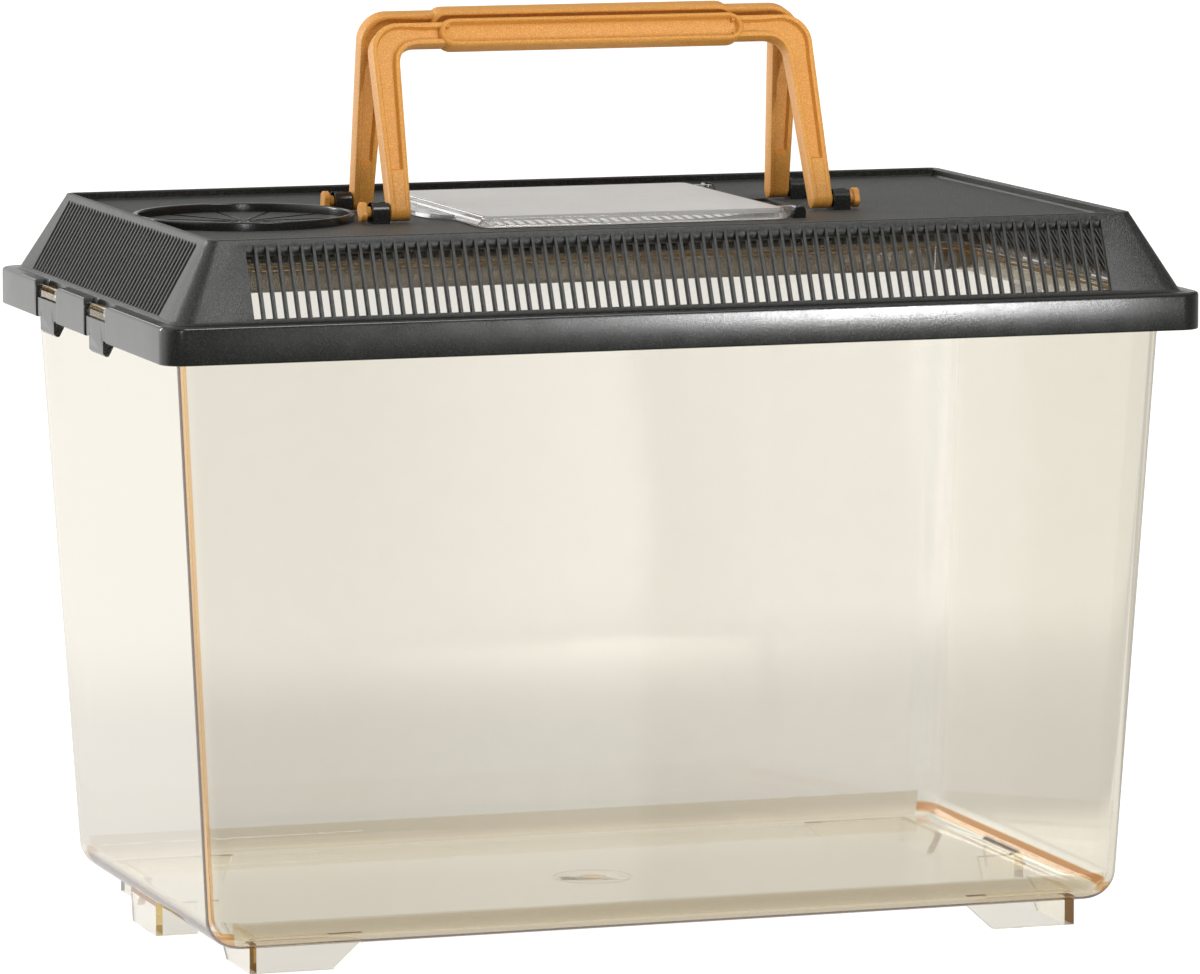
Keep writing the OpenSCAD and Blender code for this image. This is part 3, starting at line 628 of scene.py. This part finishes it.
class KEEPER_OT_lid(bpy.types.Operator):
    """Build the black lid: band, ledge, slotted walls, top edge and deck in one moulding"""
    bl_idname = "keeper.lid"
    bl_label = "Lid"

    def execute(self, context):
        s = context.scene.keeper_lid
        t, ledge, border, deck = s.sheet / MM, s.ledge / MM, s.border / MM, s.deck / MM
        bx, by = BAND_HALF
        slope, top = BAND_HALF - ledge, BAND_HALF - ledge - LID_LEAN
        low, high, crown = SHOULDER_Z + border, DECK_Z - 2.4, TOP_Z - 1.8

        def wall(z, inset):
            """Section of the slopes at a height: half sizes and corner shrink evenly with the height."""
            rise = (z - SHOULDER_Z) / SLOPE_H
            return *(slope - LID_LEAN * rise - inset), max(8 - 4 * rise - inset, 0.3), z

        under = DECK_Z - deck
        x, y, r, z = wall(under, t)
        rows = [(x - 8, y - 8, 1.0, under), (x - 0.6, y - 0.6, 1.2, under), (x, y, r, under - 0.6)]
        rows += [wall(z, t) for z in (high, low, SHOULDER_Z - 1.6)]
        x, y, r, z = wall(SHOULDER_Z - 2, t)
        rows += [(x + 0.4, y + 0.4, r, SHOULDER_Z - 2)]
        rows += [(bx - 2.6, by - 2.6, 5.4, SHOULDER_Z - 2), (bx - 2, by - 2, 6, SHOULDER_Z - 2.6)]
        rows += [(bx - 2, by - 2, 6, BAND_Z + 0.3), (bx - 1.7, by - 1.7, 6.3, BAND_Z)]
        for a in np.radians([0, 30, 60, 90]):  # lower edge of the band
            g = 0.6 * (1 - math.sin(a))
            rows.append((bx - g, by - g, 8 - g, BAND_Z + 0.6 * (1 - math.cos(a))))
        rows.append((bx, by, 8, SHOULDER_Z - 1.6))
        rows += edge_rows((bx, by), 8, SHOULDER_Z - 1.2, 1.2, [0, 18, 36, 54, 72, 90])
        rows.append((bx - 1.7, by - 1.7, 7, SHOULDER_Z))
        x, y, r, z = wall(SHOULDER_Z + 0.5, 0)
        rows += [(slope[0] + 0.4, slope[1] + 0.4, 8.4, SHOULDER_Z), (x, y, r, z)]
        first = len(rows)
        rows += [wall(z, 0) for z in (low, crown)]
        x, y, r, z = wall(TOP_Z - 0.7, 0)
        rows += edge_rows((x, y), r, z, 0.7, [0, 30, 60, 90], 0.5)
        for a in np.radians([90, 45, 0]):  # inner round of the top edge
            g = t - 0.5 * math.sin(a)
            rows.append((top[0] - g, top[1] - g, 4 - g, TOP_Z - 0.5 + 0.5 * math.sin(a)))
        rows += [(top[0] - t, top[1] - t, 1.8, DECK_Z + 0.6), (top[0] - t - 0.6, top[1] - t - 0.6, 1.4, DECK_Z),
                 (top[0] - t - 6, top[1] - t - 6, 1.0, DECK_Z)]
        grid, cut_cols = self.grid(np.array(rows), s)
        points, faces = skin(grid)
        faces = self.open_slots(faces, grid.shape, cut_cols, (3, 4), (first, first + 1))
        lid = mesh_object("lid_shell", (points, faces))
        combine(lid, self.opening(deck), "DIFFERENCE")
        well = moved(skin(rings([(5.5, 26, 1.5, DECK_Z - 1), (5.5, 26, 1.5, DECK_Z + 1)], 6)), (69.5, 0, 0))
        combine(lid, well, "DIFFERENCE")
        cutters = self.windows()
        combine(lid, together(*cutters[0::4], *cutters[1::4]), "DIFFERENCE")
        combine(lid, together(*cutters[2::4], *cutters[3::4]), "DIFFERENCE")
        soften(lid, 0.22, 2, 50)
        bake(lid, 40)
        finishes = [opaque_plastic("black_plastic"), opaque_plastic("satin_plastic"), grained_plastic()]
        place(lid, "lid", "lid_black", finishes, "lid_rim", "lid_top", "front_grille", "rear_grille", "left_grille",
              "right_grille")
        (_, _, z), (_, _, nz) = face_places(lid)
        on_deck = (np.abs(z - DECK_Z) < 0.05) & (nz > 0.9)
        on_slope = (z > SHOULDER_Z + 0.2) & ~on_deck
        lid.data.polygons.foreach_set("material_index", np.where(on_deck, 2, on_slope * 1).astype(np.int32))
        return {"FINISHED"}

    @staticmethod
    def grid(rows, s):
        """Rings whose straight sides carry the slots' edges at fixed places, with round corners between.
        Returns the grid and the columns that begin a slot."""
        arcs = corner_arcs(rows[:, :2], rows[:, 2], 10)
        flare = np.where(np.arange(len(rows)) >= len(rows) // 2, 0.3, 0.0)[:, None]
        side_x, side_y = (slot_edges(2 * (half - s.end / MM), s.pitch / MM, s.slot / MM + flare)
                          for half in BAND_HALF - s.ledge / MM - LID_LEAN)
        parts, starts, at = [], [], 0
        for q, along in enumerate((side_x[:, ::-1], side_y[:, ::-1], side_x, side_y)):
            arc_ = arcs[:, q]
            parts.append(arc_)
            at += arc_.shape[1]
            line = np.zeros((len(rows), along.shape[1], 2))
            axis = q % 2
            line[:, :, axis] = along
            line[:, :, 1 - axis] = arc_[:, -1, 1 - axis][:, None]
            parts.append(line)
            starts += list(range(at, at + along.shape[1], 2))
            at += along.shape[1]
        flat = np.concatenate(parts, 1)
        z = np.broadcast_to(rows[:, 3][:, None, None], flat.shape[:2] + (1,))
        return np.concatenate([flat, z], 2), starts

    @staticmethod
    def open_slots(faces, shape, starts, inner, outer):
        """Takes out the faces of each slot in the inner and the outer wall, and joins the two openings."""
        rows, cols = shape[:2]
        gone = {(r, c) for r in (inner[0], outer[0]) for c in starts}
        kept = [f for k, f in enumerate(faces) if k >= (rows - 1) * cols or divmod(k, cols) not in gone]
        for c in starts:
            inside = [inner[0] * cols + c, inner[0] * cols + c + 1, inner[1] * cols + c + 1, inner[1] * cols + c]
            outside = [outer[1] * cols + c, outer[1] * cols + c + 1, outer[0] * cols + c + 1, outer[0] * cols + c]
            for k in range(4):
                n = (k + 1) % 4
                kept.append([inside[k], inside[n], outside[n], outside[k]])
        return kept

    @staticmethod
    def opening(deck):
        """Rounded opening through the deck under the hatch."""
        across = HATCH_HIGH[1] - 7
        rows = [(48, across, 5, DECK_Z - deck - 2), (48, across, 5, DECK_Z + 2)]
        return moved(skin(rings(rows, 8)), (-1, 0, 0))

    @staticmethod
    def windows():
        """Notches for the latches: straight below, flared by a quarter round at the ledge, and cut on through
        the ledge with round inner corners."""
        made = []
        for side in (-1, 1):
            y = END_SHIFT + side * LATCH_SPACING / 2
            half, r = 14.3, 3.0
            right = [(half, BAND_Z - 1), (half, SHOULDER_Z - r)]
            right += [(half + r - r * math.cos(a), SHOULDER_Z - r + r * math.sin(a))
                      for a in np.radians([15, 30, 45, 60, 75, 90])]
            right += [(half + r, SHOULDER_Z + 0.8)]
            outline = np.array(right + [(-a, b) for a, b in right[::-1]])
            flare = prism(outline + [y, 0], BAND_HALF[0] - 3, BAND_HALF[0] + 1, 0)
            plan = [(BAND_HALF[0] + 2, y - half), (BAND_HALF[0] + 2, y + half)]
            plan += [tuple(q) for q in arc((BAND_HALF[0] - 1.8, y + half - 2.8), 2.8, 90, 180, 6)]
            plan += [tuple(q) for q in arc((BAND_HALF[0] - 1.8, y - half + 2.8), 2.8, 180, 270, 6)]
            notch = prism(plan, BAND_Z - 2, SHOULDER_Z + 2, 2)
            made += [flare, mirrored(flare, 0), notch, mirrored(notch, 0)]
        return made


class KEEPER_OT_deck_fittings(bpy.types.Operator):
    """Build the round collar with its ribs and the open clips on the deck"""
    bl_idname = "keeper.deck_fittings"
    bl_label = "Collar and clips"

    def execute(self, context):
        s = context.scene.keeper_lid
        outer, wall = s.collar / MM / 2, s.collar_wall / MM
        x = outer + 0.5 - (BAND_HALF[0] - s.ledge / MM - LID_LEAN[0])
        top, low = TOP_Z, DECK_Z - 0.4
        profile = [(outer, low), (outer, top - 0.5), *arc((outer - 0.5, top - 0.5), 0.5, 20, 90, 3),
                   *arc((outer - wall + 0.5, top - 0.5), 0.5, 90, 160, 3), (outer - wall, top - 0.5),
                   (outer - wall, low)]
        collar = skin(circles(profile, 128), wrap=True)
        ribs = []
        for k in range(12):
            a = math.radians(30 * k)
            rib = prism([[3, -0.3], [outer - wall / 2, -0.3], [outer - wall / 2, 0.3], [3, 0.3]], low,
                        DECK_Z + 0.25, 2)
            turn = np.array([[math.cos(a), math.sin(a), 0], [-math.sin(a), math.cos(a), 0], [0, 0, 1]])
            ribs.append((rib[0] @ turn, rib[1]))
        piece = mesh_object("round_collar", moved(together(collar, *ribs), (x, 0, 0)))
        place(piece, "lid", "lid_black", [opaque_plastic("black_plastic")])
        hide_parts("lid_top")
        clips = []
        for side in (-1, 1):
            one = moved(self.clip(2.1, 1.5, 6.2, 4), (HANDLE_X + 0.4, side * PIVOT_Y, DECK_Z))
            clips += [one, mirrored(one, 0)]
        handle_clips = mesh_object("handle_clips", together(*clips))
        soften(handle_clips, 0.3, 3, 35)
        place(handle_clips, "lid", "lid_black", [opaque_plastic("black_plastic")])
        clips = []
        for side in (-1, 1):
            points, faces = self.clip(1.3, 0.9, 4, 2.2)
            points = np.stack([-points[:, 1], points[:, 0] - 2, points[:, 2]], -1)
            clips.append((points + [HINGE_X, side * (HATCH_HIGH[1] - 4), DECK_Z], faces))
            a = np.radians(np.linspace(0, 180, 13))
            over = [(DECK_Z + 2.2 + 1.9 * math.sin(k), HINGE_X + 2.1 * math.cos(k)) for k in a]
            cap = [(DECK_Z - 0.4, HINGE_X + 2.1), *over, (DECK_Z - 0.4, HINGE_X - 2.1)]
            cap = prism(cap, HATCH_HIGH[1] - 2.1, HATCH_HIGH[1] - 1.7, 1)
            clips.append(mirrored(cap, 1) if side < 0 else cap)
        hatch_clips = mesh_object("hatch_clips", together(*clips))
        soften(hatch_clips, 0.2, 2, 35)
        place(hatch_clips, "lid", "lid_black", [opaque_plastic("black_plastic")])
        return {"FINISHED"}

    @staticmethod
    def clip(pin, wall, width, height):
        """Open clip along x: a post that rises into a ring round the pin, with a mouth at the top."""
        r = pin + 0.06
        big = r + wall
        over = arc((0, height), big, 0, math.degrees(math.acos(0.8 * r / big)), 8)
        start = math.degrees(math.acos(0.8))
        inside = arc((0, height), r, start, -180 - start, 24)
        outline = [(-big, -0.4), (big, -0.4), *over, *inside, *(over[::-1] * [-1, 1])]
        return prism(outline, 0, width, 0)


class KEEPER_OT_hatch(bpy.types.Operator):
    """Build the clear hatch with its lip and hinge arms"""
    bl_idname = "keeper.hatch"
    bl_label = "Hatch"

    def execute(self, context):
        s = context.scene.keeper_hatch
        low, high, t, c = HATCH_LOW[2], HATCH_LOW[2] + 3.8, s.wall / MM, s.corner / MM
        half_x, half_y = 55.0, HATCH_HIGH[1] + 1.5
        steps = [(-t - 3, 1.0, high - t), (-t - 0.5, 1.9, high - t), (-t, c - t, high - t - 0.5),
                 (1 - t, c - t + 1, low + 0.5), (1.4 - t, c - t + 1.4, low), (1.1, c + 1.1, low),
                 (1.5, c + 1.5, low + 0.4), (1.3, c + 1.3, low + 0.9), (0, c, high - 1.6)]
        rows = [(half_x + out, half_y + out, r, z) for out, r, z in steps]
        rows += edge_rows((half_x, half_y), c, high - 1.4, 1.4, [0, 15, 30, 45, 60, 75, 90])
        rows.append((half_x - 2, half_y - 2, 2.2, high))
        hatch = mesh_object("hatch_cover", moved(skin(rings(rows, 10)), (-1, 0, 0)))
        combine(hatch, self.lip(low, t, s.lip / MM), "UNION")
        combine(hatch, together(*self.arms()), "UNION")
        place(hatch, "hatch", "clear_hatch", [hatch_plastic("clear_hatch_plastic", 0.06, 0.08, 0.05),
                                              hatch_plastic("frosted_hatch_plastic", 0.34, 0.45, 0.25)], "hatch")
        (_, _, z), (_, _, nz) = face_places(hatch)
        top = (z > high - t - 0.1) & (np.abs(nz) > 0.95)
        hatch.data.polygons.foreach_set("material_index", top.astype(np.int32))
        return {"FINISHED"}

    @staticmethod
    def lip(low, t, reach):
        """Half an ellipse that stands out from the free edge."""
        a = np.radians(np.linspace(90, 270, 33))
        outline = np.stack([-56 + 0.8 + (reach + 0.8) * np.cos(a), 22 * np.sin(a)], -1)
        return prism(outline, low, low + t, 2)

    @staticmethod
    def arms():
        """Two arms with round ends, and a hinge pin that stands out from each along y."""
        z, root, r = HATCH_LOW[2] + 1.9, HATCH_HIGH[1] - 9.0, 1.6
        a = np.radians(np.linspace(-90, 90, 13))
        outline = [(z + r * math.sin(b), HINGE_X + r * math.cos(b)) for b in a] + [(z + r, 53.2), (z - r, 53.2)]
        arm = prism(outline, root, root + 2.6, 1)
        pin = circles([(1.3, root + 1.5), (1.3, root + 6.5), (1.1, root + 6.7)], 24)
        points, faces = skin(np.stack([pin[..., 0] + HINGE_X, pin[..., 2], pin[..., 1] + z], -1))
        pin = points, [f[::-1] for f in faces]
        return [arm, pin, mirrored(arm, 1), mirrored(pin, 1)]


class KEEPER_OT_handles(bpy.types.Operator):
    """Build both amber handles with their grips and pins"""
    bl_idname = "keeper.handles"
    bl_label = "Handles"

    def execute(self, context):
        s = context.scene.keeper_handle
        for name, y, lean in (("front_handle", -PIVOT_Y, -21.99), ("rear_handle", PIVOT_Y, 10.01)):
            half, pin = self.bail(s), self.pin()
            points, faces = together(half, mirrored(half, 0), self.grip(s), pin, mirrored(pin, 0))
            a = math.radians(lean)
            turn = np.array([[1, 0, 0], [0, math.cos(a), -math.sin(a)], [0, math.sin(a), math.cos(a)]])
            points = points @ turn.T + [0, y, PIVOT_Z]
            piece = mesh_object(name + "_bail", (points, faces), 38)
            place(piece, name, "handle_amber", [opaque_plastic("amber_plastic")], name)
        return {"FINISHED"}

    @staticmethod
    def bail(s):
        """Right half of the bail, upright over its pivot. Its path runs up the leg, round the corner and
        along the bar; at each step an outer and an inner edge point carry an I-shaped section between them."""
        thick, depth, rib = s.thickness / MM / 2, s.channel / MM, s.rib / MM
        top, bar = HANDLE_TOP, 8.0
        outer_r, inner_r = 10.0, 7.0
        foot_in, knee_in = HANDLE_X - 7.3, HANDLE_X - 9.6
        knee_z = top - bar - inner_r
        levels = [-thick * math.cos(a) for a in np.radians([8, 20, 35, 50, 65, 80])]
        levels = np.array(levels + [0.0, 4.0, 12.0, 13.7, 14.0, 14.6, 15.4, 20.0, 30.0, 40.0, knee_z - 1])
        inner_x = foot_in + (knee_in - foot_in) * np.maximum(levels, 0) / knee_z
        reach = np.array([62.0, 57.0, 52.0])
        outer = np.concatenate([np.stack([np.full(len(levels), HANDLE_X), levels], -1),
                                arc((HANDLE_X - outer_r, top - outer_r), outer_r, 0, 90, 12),
                                np.stack([reach, np.full(3, top)], -1)])
        inner = np.concatenate([np.stack([inner_x, levels], -1),
                                arc((knee_in - inner_r, knee_z), inner_r, 0, 90, 12),
                                np.stack([reach, np.full(3, top - bar)], -1)])
        width = np.linalg.norm(outer - inner, axis=1)
        z = outer[:, 1]
        # Half thickness at the ribs, and at the web, whose channel fades in above the foot
        low = np.sqrt(np.maximum(0.0, thick ** 2 - np.minimum(z, 0) ** 2))
        web = low - depth * np.clip((z - 13.7) / 1.0, 0, 1)
        r, f = 0.75, 0.5
        rows = []
        for w, t, g in zip(width, low, web):
            round_ = min(r, t * 0.8)
            up = [(0, t - round_), (0.3 * round_, t - 0.3 * round_), (round_, t), (rib - round_ * 0.8, t),
                  (rib - 0.25 * round_, t - 0.25 * round_), (rib, t - min(round_, (t - g) * 0.5)),
                  (rib + 0.1, g + min(f, (t - g) * 0.4)), (rib + f, g)]
            up += [(w - a, b) for a, b in up[::-1]]
            rows.append(up + [(a, -b) for a, b in up[::-1]])
        rows = np.array(rows)
        share = rows[..., 0] / width[:, None]
        xz = outer[:, None, :] + (inner - outer)[:, None, :] * share[..., None]
        grid = np.stack([xz[..., 0], rows[..., 1], xz[..., 1]], -1)
        return skin(grid[:, ::-1])

    @staticmethod
    def grip(s):
        """Grip: stadium outlines drawn in step by step while the level rises over a round rim and drops
        into the pocket, and the same on the other face."""
        half_l, half_h, t, middle = s.grip / MM / 2, 5.2, 4.5, HANDLE_TOP - 4
        pocket, rib = s.pocket / MM, s.rib / MM
        side = [(2.75, t - pocket), (2.3, t - pocket + 0.15), (rib, t - pocket + 0.6), (rib - 0.1, t - 0.7),
                (rib - 0.35, t - 0.2), (1.35, t), (0.95, t - 0.05), (0.45, t - 0.5), (0.12, t - 1.2), (0.0, t - 2.0)]
        rows = [(a, -b) for a, b in side] + [(a, b) for a, b in side[::-1]]
        angle = np.radians(np.linspace(-90, 90, 15))
        made = []
        for inset, level in rows:
            r = half_h - inset
            x = half_l - half_h + r * np.cos(angle)
            z = middle + r * np.sin(angle)
            mid = np.linspace(1, -1, 9)[1:-1] * (half_l - half_h)
            ring_x = np.concatenate([x, mid, -x[::-1], -mid])
            ring_z = np.concatenate([z, np.full(7, middle + r), z[::-1], np.full(7, middle - r)])
            made.append(np.stack([ring_x, np.full(len(ring_x), level), ring_z], -1))
        return skin(np.array(made)[:, ::-1])

    @staticmethod
    def pin():
        """Pin along x: a round neck that ends in a thick flange with two flats."""
        rows = [(79.5, 2.1), (81.0, 2.1), (86.2, 2.1), (87.2, 1.9), (88.6, 1.9), (89.2, 2.3), (89.2, 3.2), (89.5, 3.5),
                (91.1, 3.5), (91.4, 3.2)]
        x, r = np.array(rows).T[:, :, None]
        angle = np.linspace(0, 2 * math.pi, 40, endpoint=False)
        flat = 2.8 - np.where(r > 2.5, 3.5 - r, 0)
        y = np.clip(r * np.cos(angle), -flat, flat)
        return skin(np.stack([x + 0 * y, y, r * np.sin(angle)], -1))


class KEEPER_OT_latches(bpy.types.Operator):
    """Build the four spring latches in the band's windows"""
    bl_idname = "keeper.latches"
    bl_label = "Latches"

    def execute(self, context):
        for end in ("left", "right"):
            for row, y in (("front", END_SHIFT - LATCH_SPACING / 2), ("rear", END_SHIFT + LATCH_SPACING / 2)):
                face, back, hook = 185.6, 183.6, 181.5
                top, toe, lip = BAND_Z + 7, BAND_Z - 5, RIM_Z - RIM_H - 0.3
                outline = [(face, toe + 1), (face, top), (back, top), (back, lip), (hook, lip), (hook, lip - 1.2),
                           (back, toe), (face - 1, toe)]
                plate = prism([(b, a) for a, b in outline], y - 9.5, y + 9.5, 1)
                cheek = [(face, BAND_Z + 0.5), (face, top), (back, top), (back, BAND_Z + 0.5)]
                cheeks = [prism([(b, a) for a, b in cheek], y + k * 9.5 - 4.3, y + k * 9.5 + 4.3, 1) for k in (-1, 1)]
                web = circles([(0.8, y - 14.3), (0.8, y + 14.3)], 24)
                web = np.stack([web[..., 0] + 184.6, web[..., 2], -web[..., 1] + top - 0.8], -1)
                parts = [skin(web), *cheeks]
                if end == "left":
                    plate, parts = mirrored(plate, 0), [mirrored(p, 0) for p in parts]
                name = f"{end}_{row}_latch"
                piece = mesh_object(name + "_tab", plate)
                for extra in parts:
                    combine(piece, extra, "UNION")
                soften(piece, 0.3, 3, 35)
                place(piece, name, "lid_black", [opaque_plastic("black_plastic")], name)
        return {"FINISHED"}


class KEEPER_OT_stage(bpy.types.Operator):
    """Set the floor, the soft lights and the camera"""
    bl_idname = "keeper.stage"
    bl_label = "Stage"

    def execute(self, context):
        s = context.scene.keeper_stage
        floor = mesh_object("floor", skin(rings([(12000, 12000, 1, -2), (12000, 12000, 1, 0)], 1)))
        floor.data.materials.append(material("floor_paint", self.paint, s))
        floor.visible_glossy = False
        self.room(context.scene, s.sky)
        # Soft lights: name, place, point aimed at, width and height, power
        for name, at, aim, size, power in (
                ("key", (0.22, -1.25, 1.32), (-0.1, 0, 0.25), (0.55, 0.55), s.key),
                ("low_strip", (0.48, -1.23, 0.10), (0.1, -0.11, 0.22), (0.06, 0.16), s.low),
                ("rear_strip", (-1.75, 1.5, 0.75), (0, 0, 0.24), (0.3, 1.3), s.rim),
                ("front_strip", (-0.75, -2.5, 0.42), (-0.18, -0.1, 0.22), (0.2, 0.7), s.edge)):
            light = bpy.data.lights.new(name, "AREA")
            light.shape, light.size, light.size_y, light.energy = "RECTANGLE", *size, power
            lamp = bpy.data.objects.new(name, light)
            lamp.location = at
            lamp.rotation_euler = (Vector(aim) - Vector(at)).to_track_quat("-Z", "Y").to_euler()
            lamp.visible_camera = False
            lamp.visible_transmission = False
            context.scene.collection.objects.link(lamp)
        self.camera(context.scene)
        context.scene.view_settings.view_transform = "Standard"
        return {"FINISHED"}

    @staticmethod
    def camera(scene):
        """Camera in front, a little to the left and above, turned by its yaw, pitch and roll in radians."""
        data = bpy.data.cameras.new("camera")
        camera = bpy.data.objects.new("camera", data)
        scene.collection.objects.link(camera)
        data.sensor_width, data.lens = 36, 7968.73 * 36 / 1200
        data.clip_start, data.clip_end = 0.1, 50
        yaw, pitch, roll = 0.31621, -0.12441, -0.00128
        ahead = Vector((math.sin(yaw) * math.cos(pitch), math.cos(yaw) * math.cos(pitch), math.sin(pitch)))
        right = Vector((math.cos(yaw), -math.sin(yaw), 0))
        up = right.cross(ahead)
        x, y = right * math.cos(roll) + up * math.sin(roll), up * math.cos(roll) - right * math.sin(roll)
        turn = Matrix((x, y, -ahead)).transposed().to_4x4()
        camera.matrix_world = Matrix.Translation((-0.86511, -2.65430, 0.49966)) @ turn
        scene.camera = camera

    @staticmethod
    def paint(tree, shader, finish, s):
        """Pale floor: even to the camera; to other rays its glow is painted shade and light: darkest in a band just
        behind the object, where it is seen through clear plastic, lighter far behind, and lighter again under and in
        front of the object.
        """
        shader.inputs["Base Color"].default_value = tuple(s.floor)
        shader.inputs["Roughness"].default_value = 0.7
        where = node(tree, "ShaderNodeTexCoord", (-1100, -200)).outputs["Object"]
        y = node(tree, "ShaderNodeSeparateXYZ", (-900, -200), Vector=where).outputs["Y"]
        # Painted shade and light in the floor's glow: least just behind the object, more far behind, and 0.25 more
        # under and in front of it
        through = maths(tree, "ADD", step(tree, y, 0.42, 0.72, s.near, s.far), step(tree, y, 0.10, 0.17, 0.25, 0.0))
        path = node(tree, "ShaderNodeLightPath", (-900, 200))
        seen = node(tree, "ShaderNodeMix", (-450, 0), data_type="FLOAT", A=through, B=s.glow,
                    Factor=path.outputs["Is Camera Ray"])
        tree.links.new(seen.outputs["Result"], shader.inputs["Emission Strength"])
        shader.inputs["Emission Color"].default_value = (1, 0.985, 0.965, 1)

    @staticmethod
    def room(scene, strength):
        """Light from all round: pale behind, dark in front, soft panels given by bearing and height angle.
        A panel's mask is the product of a soft step up and a soft step down in each of the two angles."""
        scene.world = bpy.data.worlds.new("room")
        scene.world.use_nodes = True
        tree = scene.world.node_tree
        where = node(tree, "ShaderNodeTexCoord", (-1500, 0)).outputs["Generated"]
        wobble = node(tree, "ShaderNodeTexNoise", (-1300, -300), Vector=where, Scale=9.0, Detail=2.0).outputs["Fac"]
        x, y, z = node(tree, "ShaderNodeSeparateXYZ", (-1300, 0), Vector=where).outputs

        def times(*values):
            """The product of two values."""
            return maths(tree, "MULTIPLY", *values, at=(-900, 0))

        def plus(a, b, share=None):
            """The sum of two values, or a times b plus a third."""
            return maths(tree, "ADD", a, b) if share is None else maths(tree, "MULTIPLY_ADD", a, b, share)

        def band(value, low, high, soft_low, soft_high):
            """A panel's mask along one angle, from low to high in degrees, with a softness for each edge."""
            rise = step(tree, value, math.radians(low - soft_low), math.radians(low + soft_low))
            fall = step(tree, value, math.radians(high - soft_high), math.radians(high + soft_high))
            return times(rise, maths(tree, "SUBTRACT", 1.0, fall))
        sway = plus(wobble, 0.02, -0.01)
        bearing = plus(maths(tree, "ARCTAN2", x, times(y, -1.0)), sway)
        height = plus(maths(tree, "ARCSINE", z), times(sway, 0.3))
        behind = step(tree, y, -0.35, 0.35)
        upper = plus(band(height, -12.9, -8, 0.2, 1), band(height, -2.8, 0, 0.2, 1))
        lower = plus(band(height, -17, -12.9, 1, 0.2), band(height, -5, -2.8, 0.5, 0.2))
        front = 0.10
        # Upright panels in front: from and to a bearing in degrees, softness of the first edge, strength
        for low, high, soft, amount in ((17.3, 18.62, 0.9, 2.0), (18.9, 22.6, 0.3, 0.65), (19.5, 21.55, 0.6, 0.8),
                                        (20.80, 20.85, 0.02, 4.0), (20.93, 20.98, 0.02, 4.0)):
            front = plus(band(bearing, low, high, soft, 0.05), amount, front)
        front = plus(front, plus(lower, 0.5, upper), 0.22)
        slant = times(plus(step(tree, x, 0.7, -0.6), 1.0, 0.50), plus(step(tree, z, 0.15, 0.25), -0.6, 1.0))
        light = plus(times(behind, slant), times(maths(tree, "SUBTRACT", 1.0, behind), front))
        back = times(band(x, -9, 1, 1, 1), band(z, 15.5, 24, 1.5, 2))
        light = plus(times(back, behind), 3.0, light)
        light = plus(light, times(step(tree, z, 0.4, 0.85), 0.5))
        light = plus(times(band(bearing, -120, -60, 15, 15), band(height, -8, 50, 8, 10)), 0.8, light)
        background = tree.nodes["Background"]
        tree.links.new(times(light, strength), background.inputs["Strength"])
        background.inputs["Color"].default_value = (1, 0.995, 0.985, 1)


class KEEPER_PT_panel(bpy.types.Panel):
    """Sizes, finishes and the pieces in the order they are built"""
    bl_label = "Pet Keeper"
    bl_idname = "KEEPER_PT_panel"
    bl_space_type = "VIEW_3D"
    bl_region_type = "UI"
    bl_category = "Keeper"

    def draw(self, context):
        for key in SETTINGS:
            box = self.layout.box()
            group = getattr(context.scene, key)
            for name in group.bl_rna.properties.keys():
                if name not in ("rna_type", "name"):
                    box.prop(group, name)
        for operator in OPERATORS:
            self.layout.operator(operator.bl_idname)


SETTINGS = {"keeper_tank": KeeperTankSizes, "keeper_lid": KeeperLidSizes, "keeper_hatch": KeeperHatchSizes,
            "keeper_handle": KeeperHandleSizes, "keeper_finish": KeeperFinish, "keeper_stage": KeeperStage}
OPERATORS = (KEEPER_OT_tank, KEEPER_OT_lid, KEEPER_OT_deck_fittings, KEEPER_OT_hatch, KEEPER_OT_handles,
             KEEPER_OT_latches, KEEPER_OT_stage)


def register():
    """Adds the settings to the scene, and the operators and the panel to Blender."""
    for cls in (*SETTINGS.values(), *OPERATORS, KEEPER_PT_panel):
        bpy.utils.register_class(cls)
    for key, cls in SETTINGS.items():
        setattr(bpy.types.Scene, key, PointerProperty(type=cls))


def unregister():
    """Takes out what register adds."""
    for key in SETTINGS:
        delattr(bpy.types.Scene, key)
    for cls in reversed((*SETTINGS.values(), *OPERATORS, KEEPER_PT_panel)):
        bpy.utils.unregister_class(cls)


def main():
    """Registers the add-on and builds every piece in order."""
    register()
    for operator in (bpy.ops.keeper.tank, bpy.ops.keeper.lid, bpy.ops.keeper.deck_fittings, bpy.ops.keeper.hatch,
                     bpy.ops.keeper.handles, bpy.ops.keeper.latches, bpy.ops.keeper.stage):
        operator()


if __name__ == "__main__":
    main()
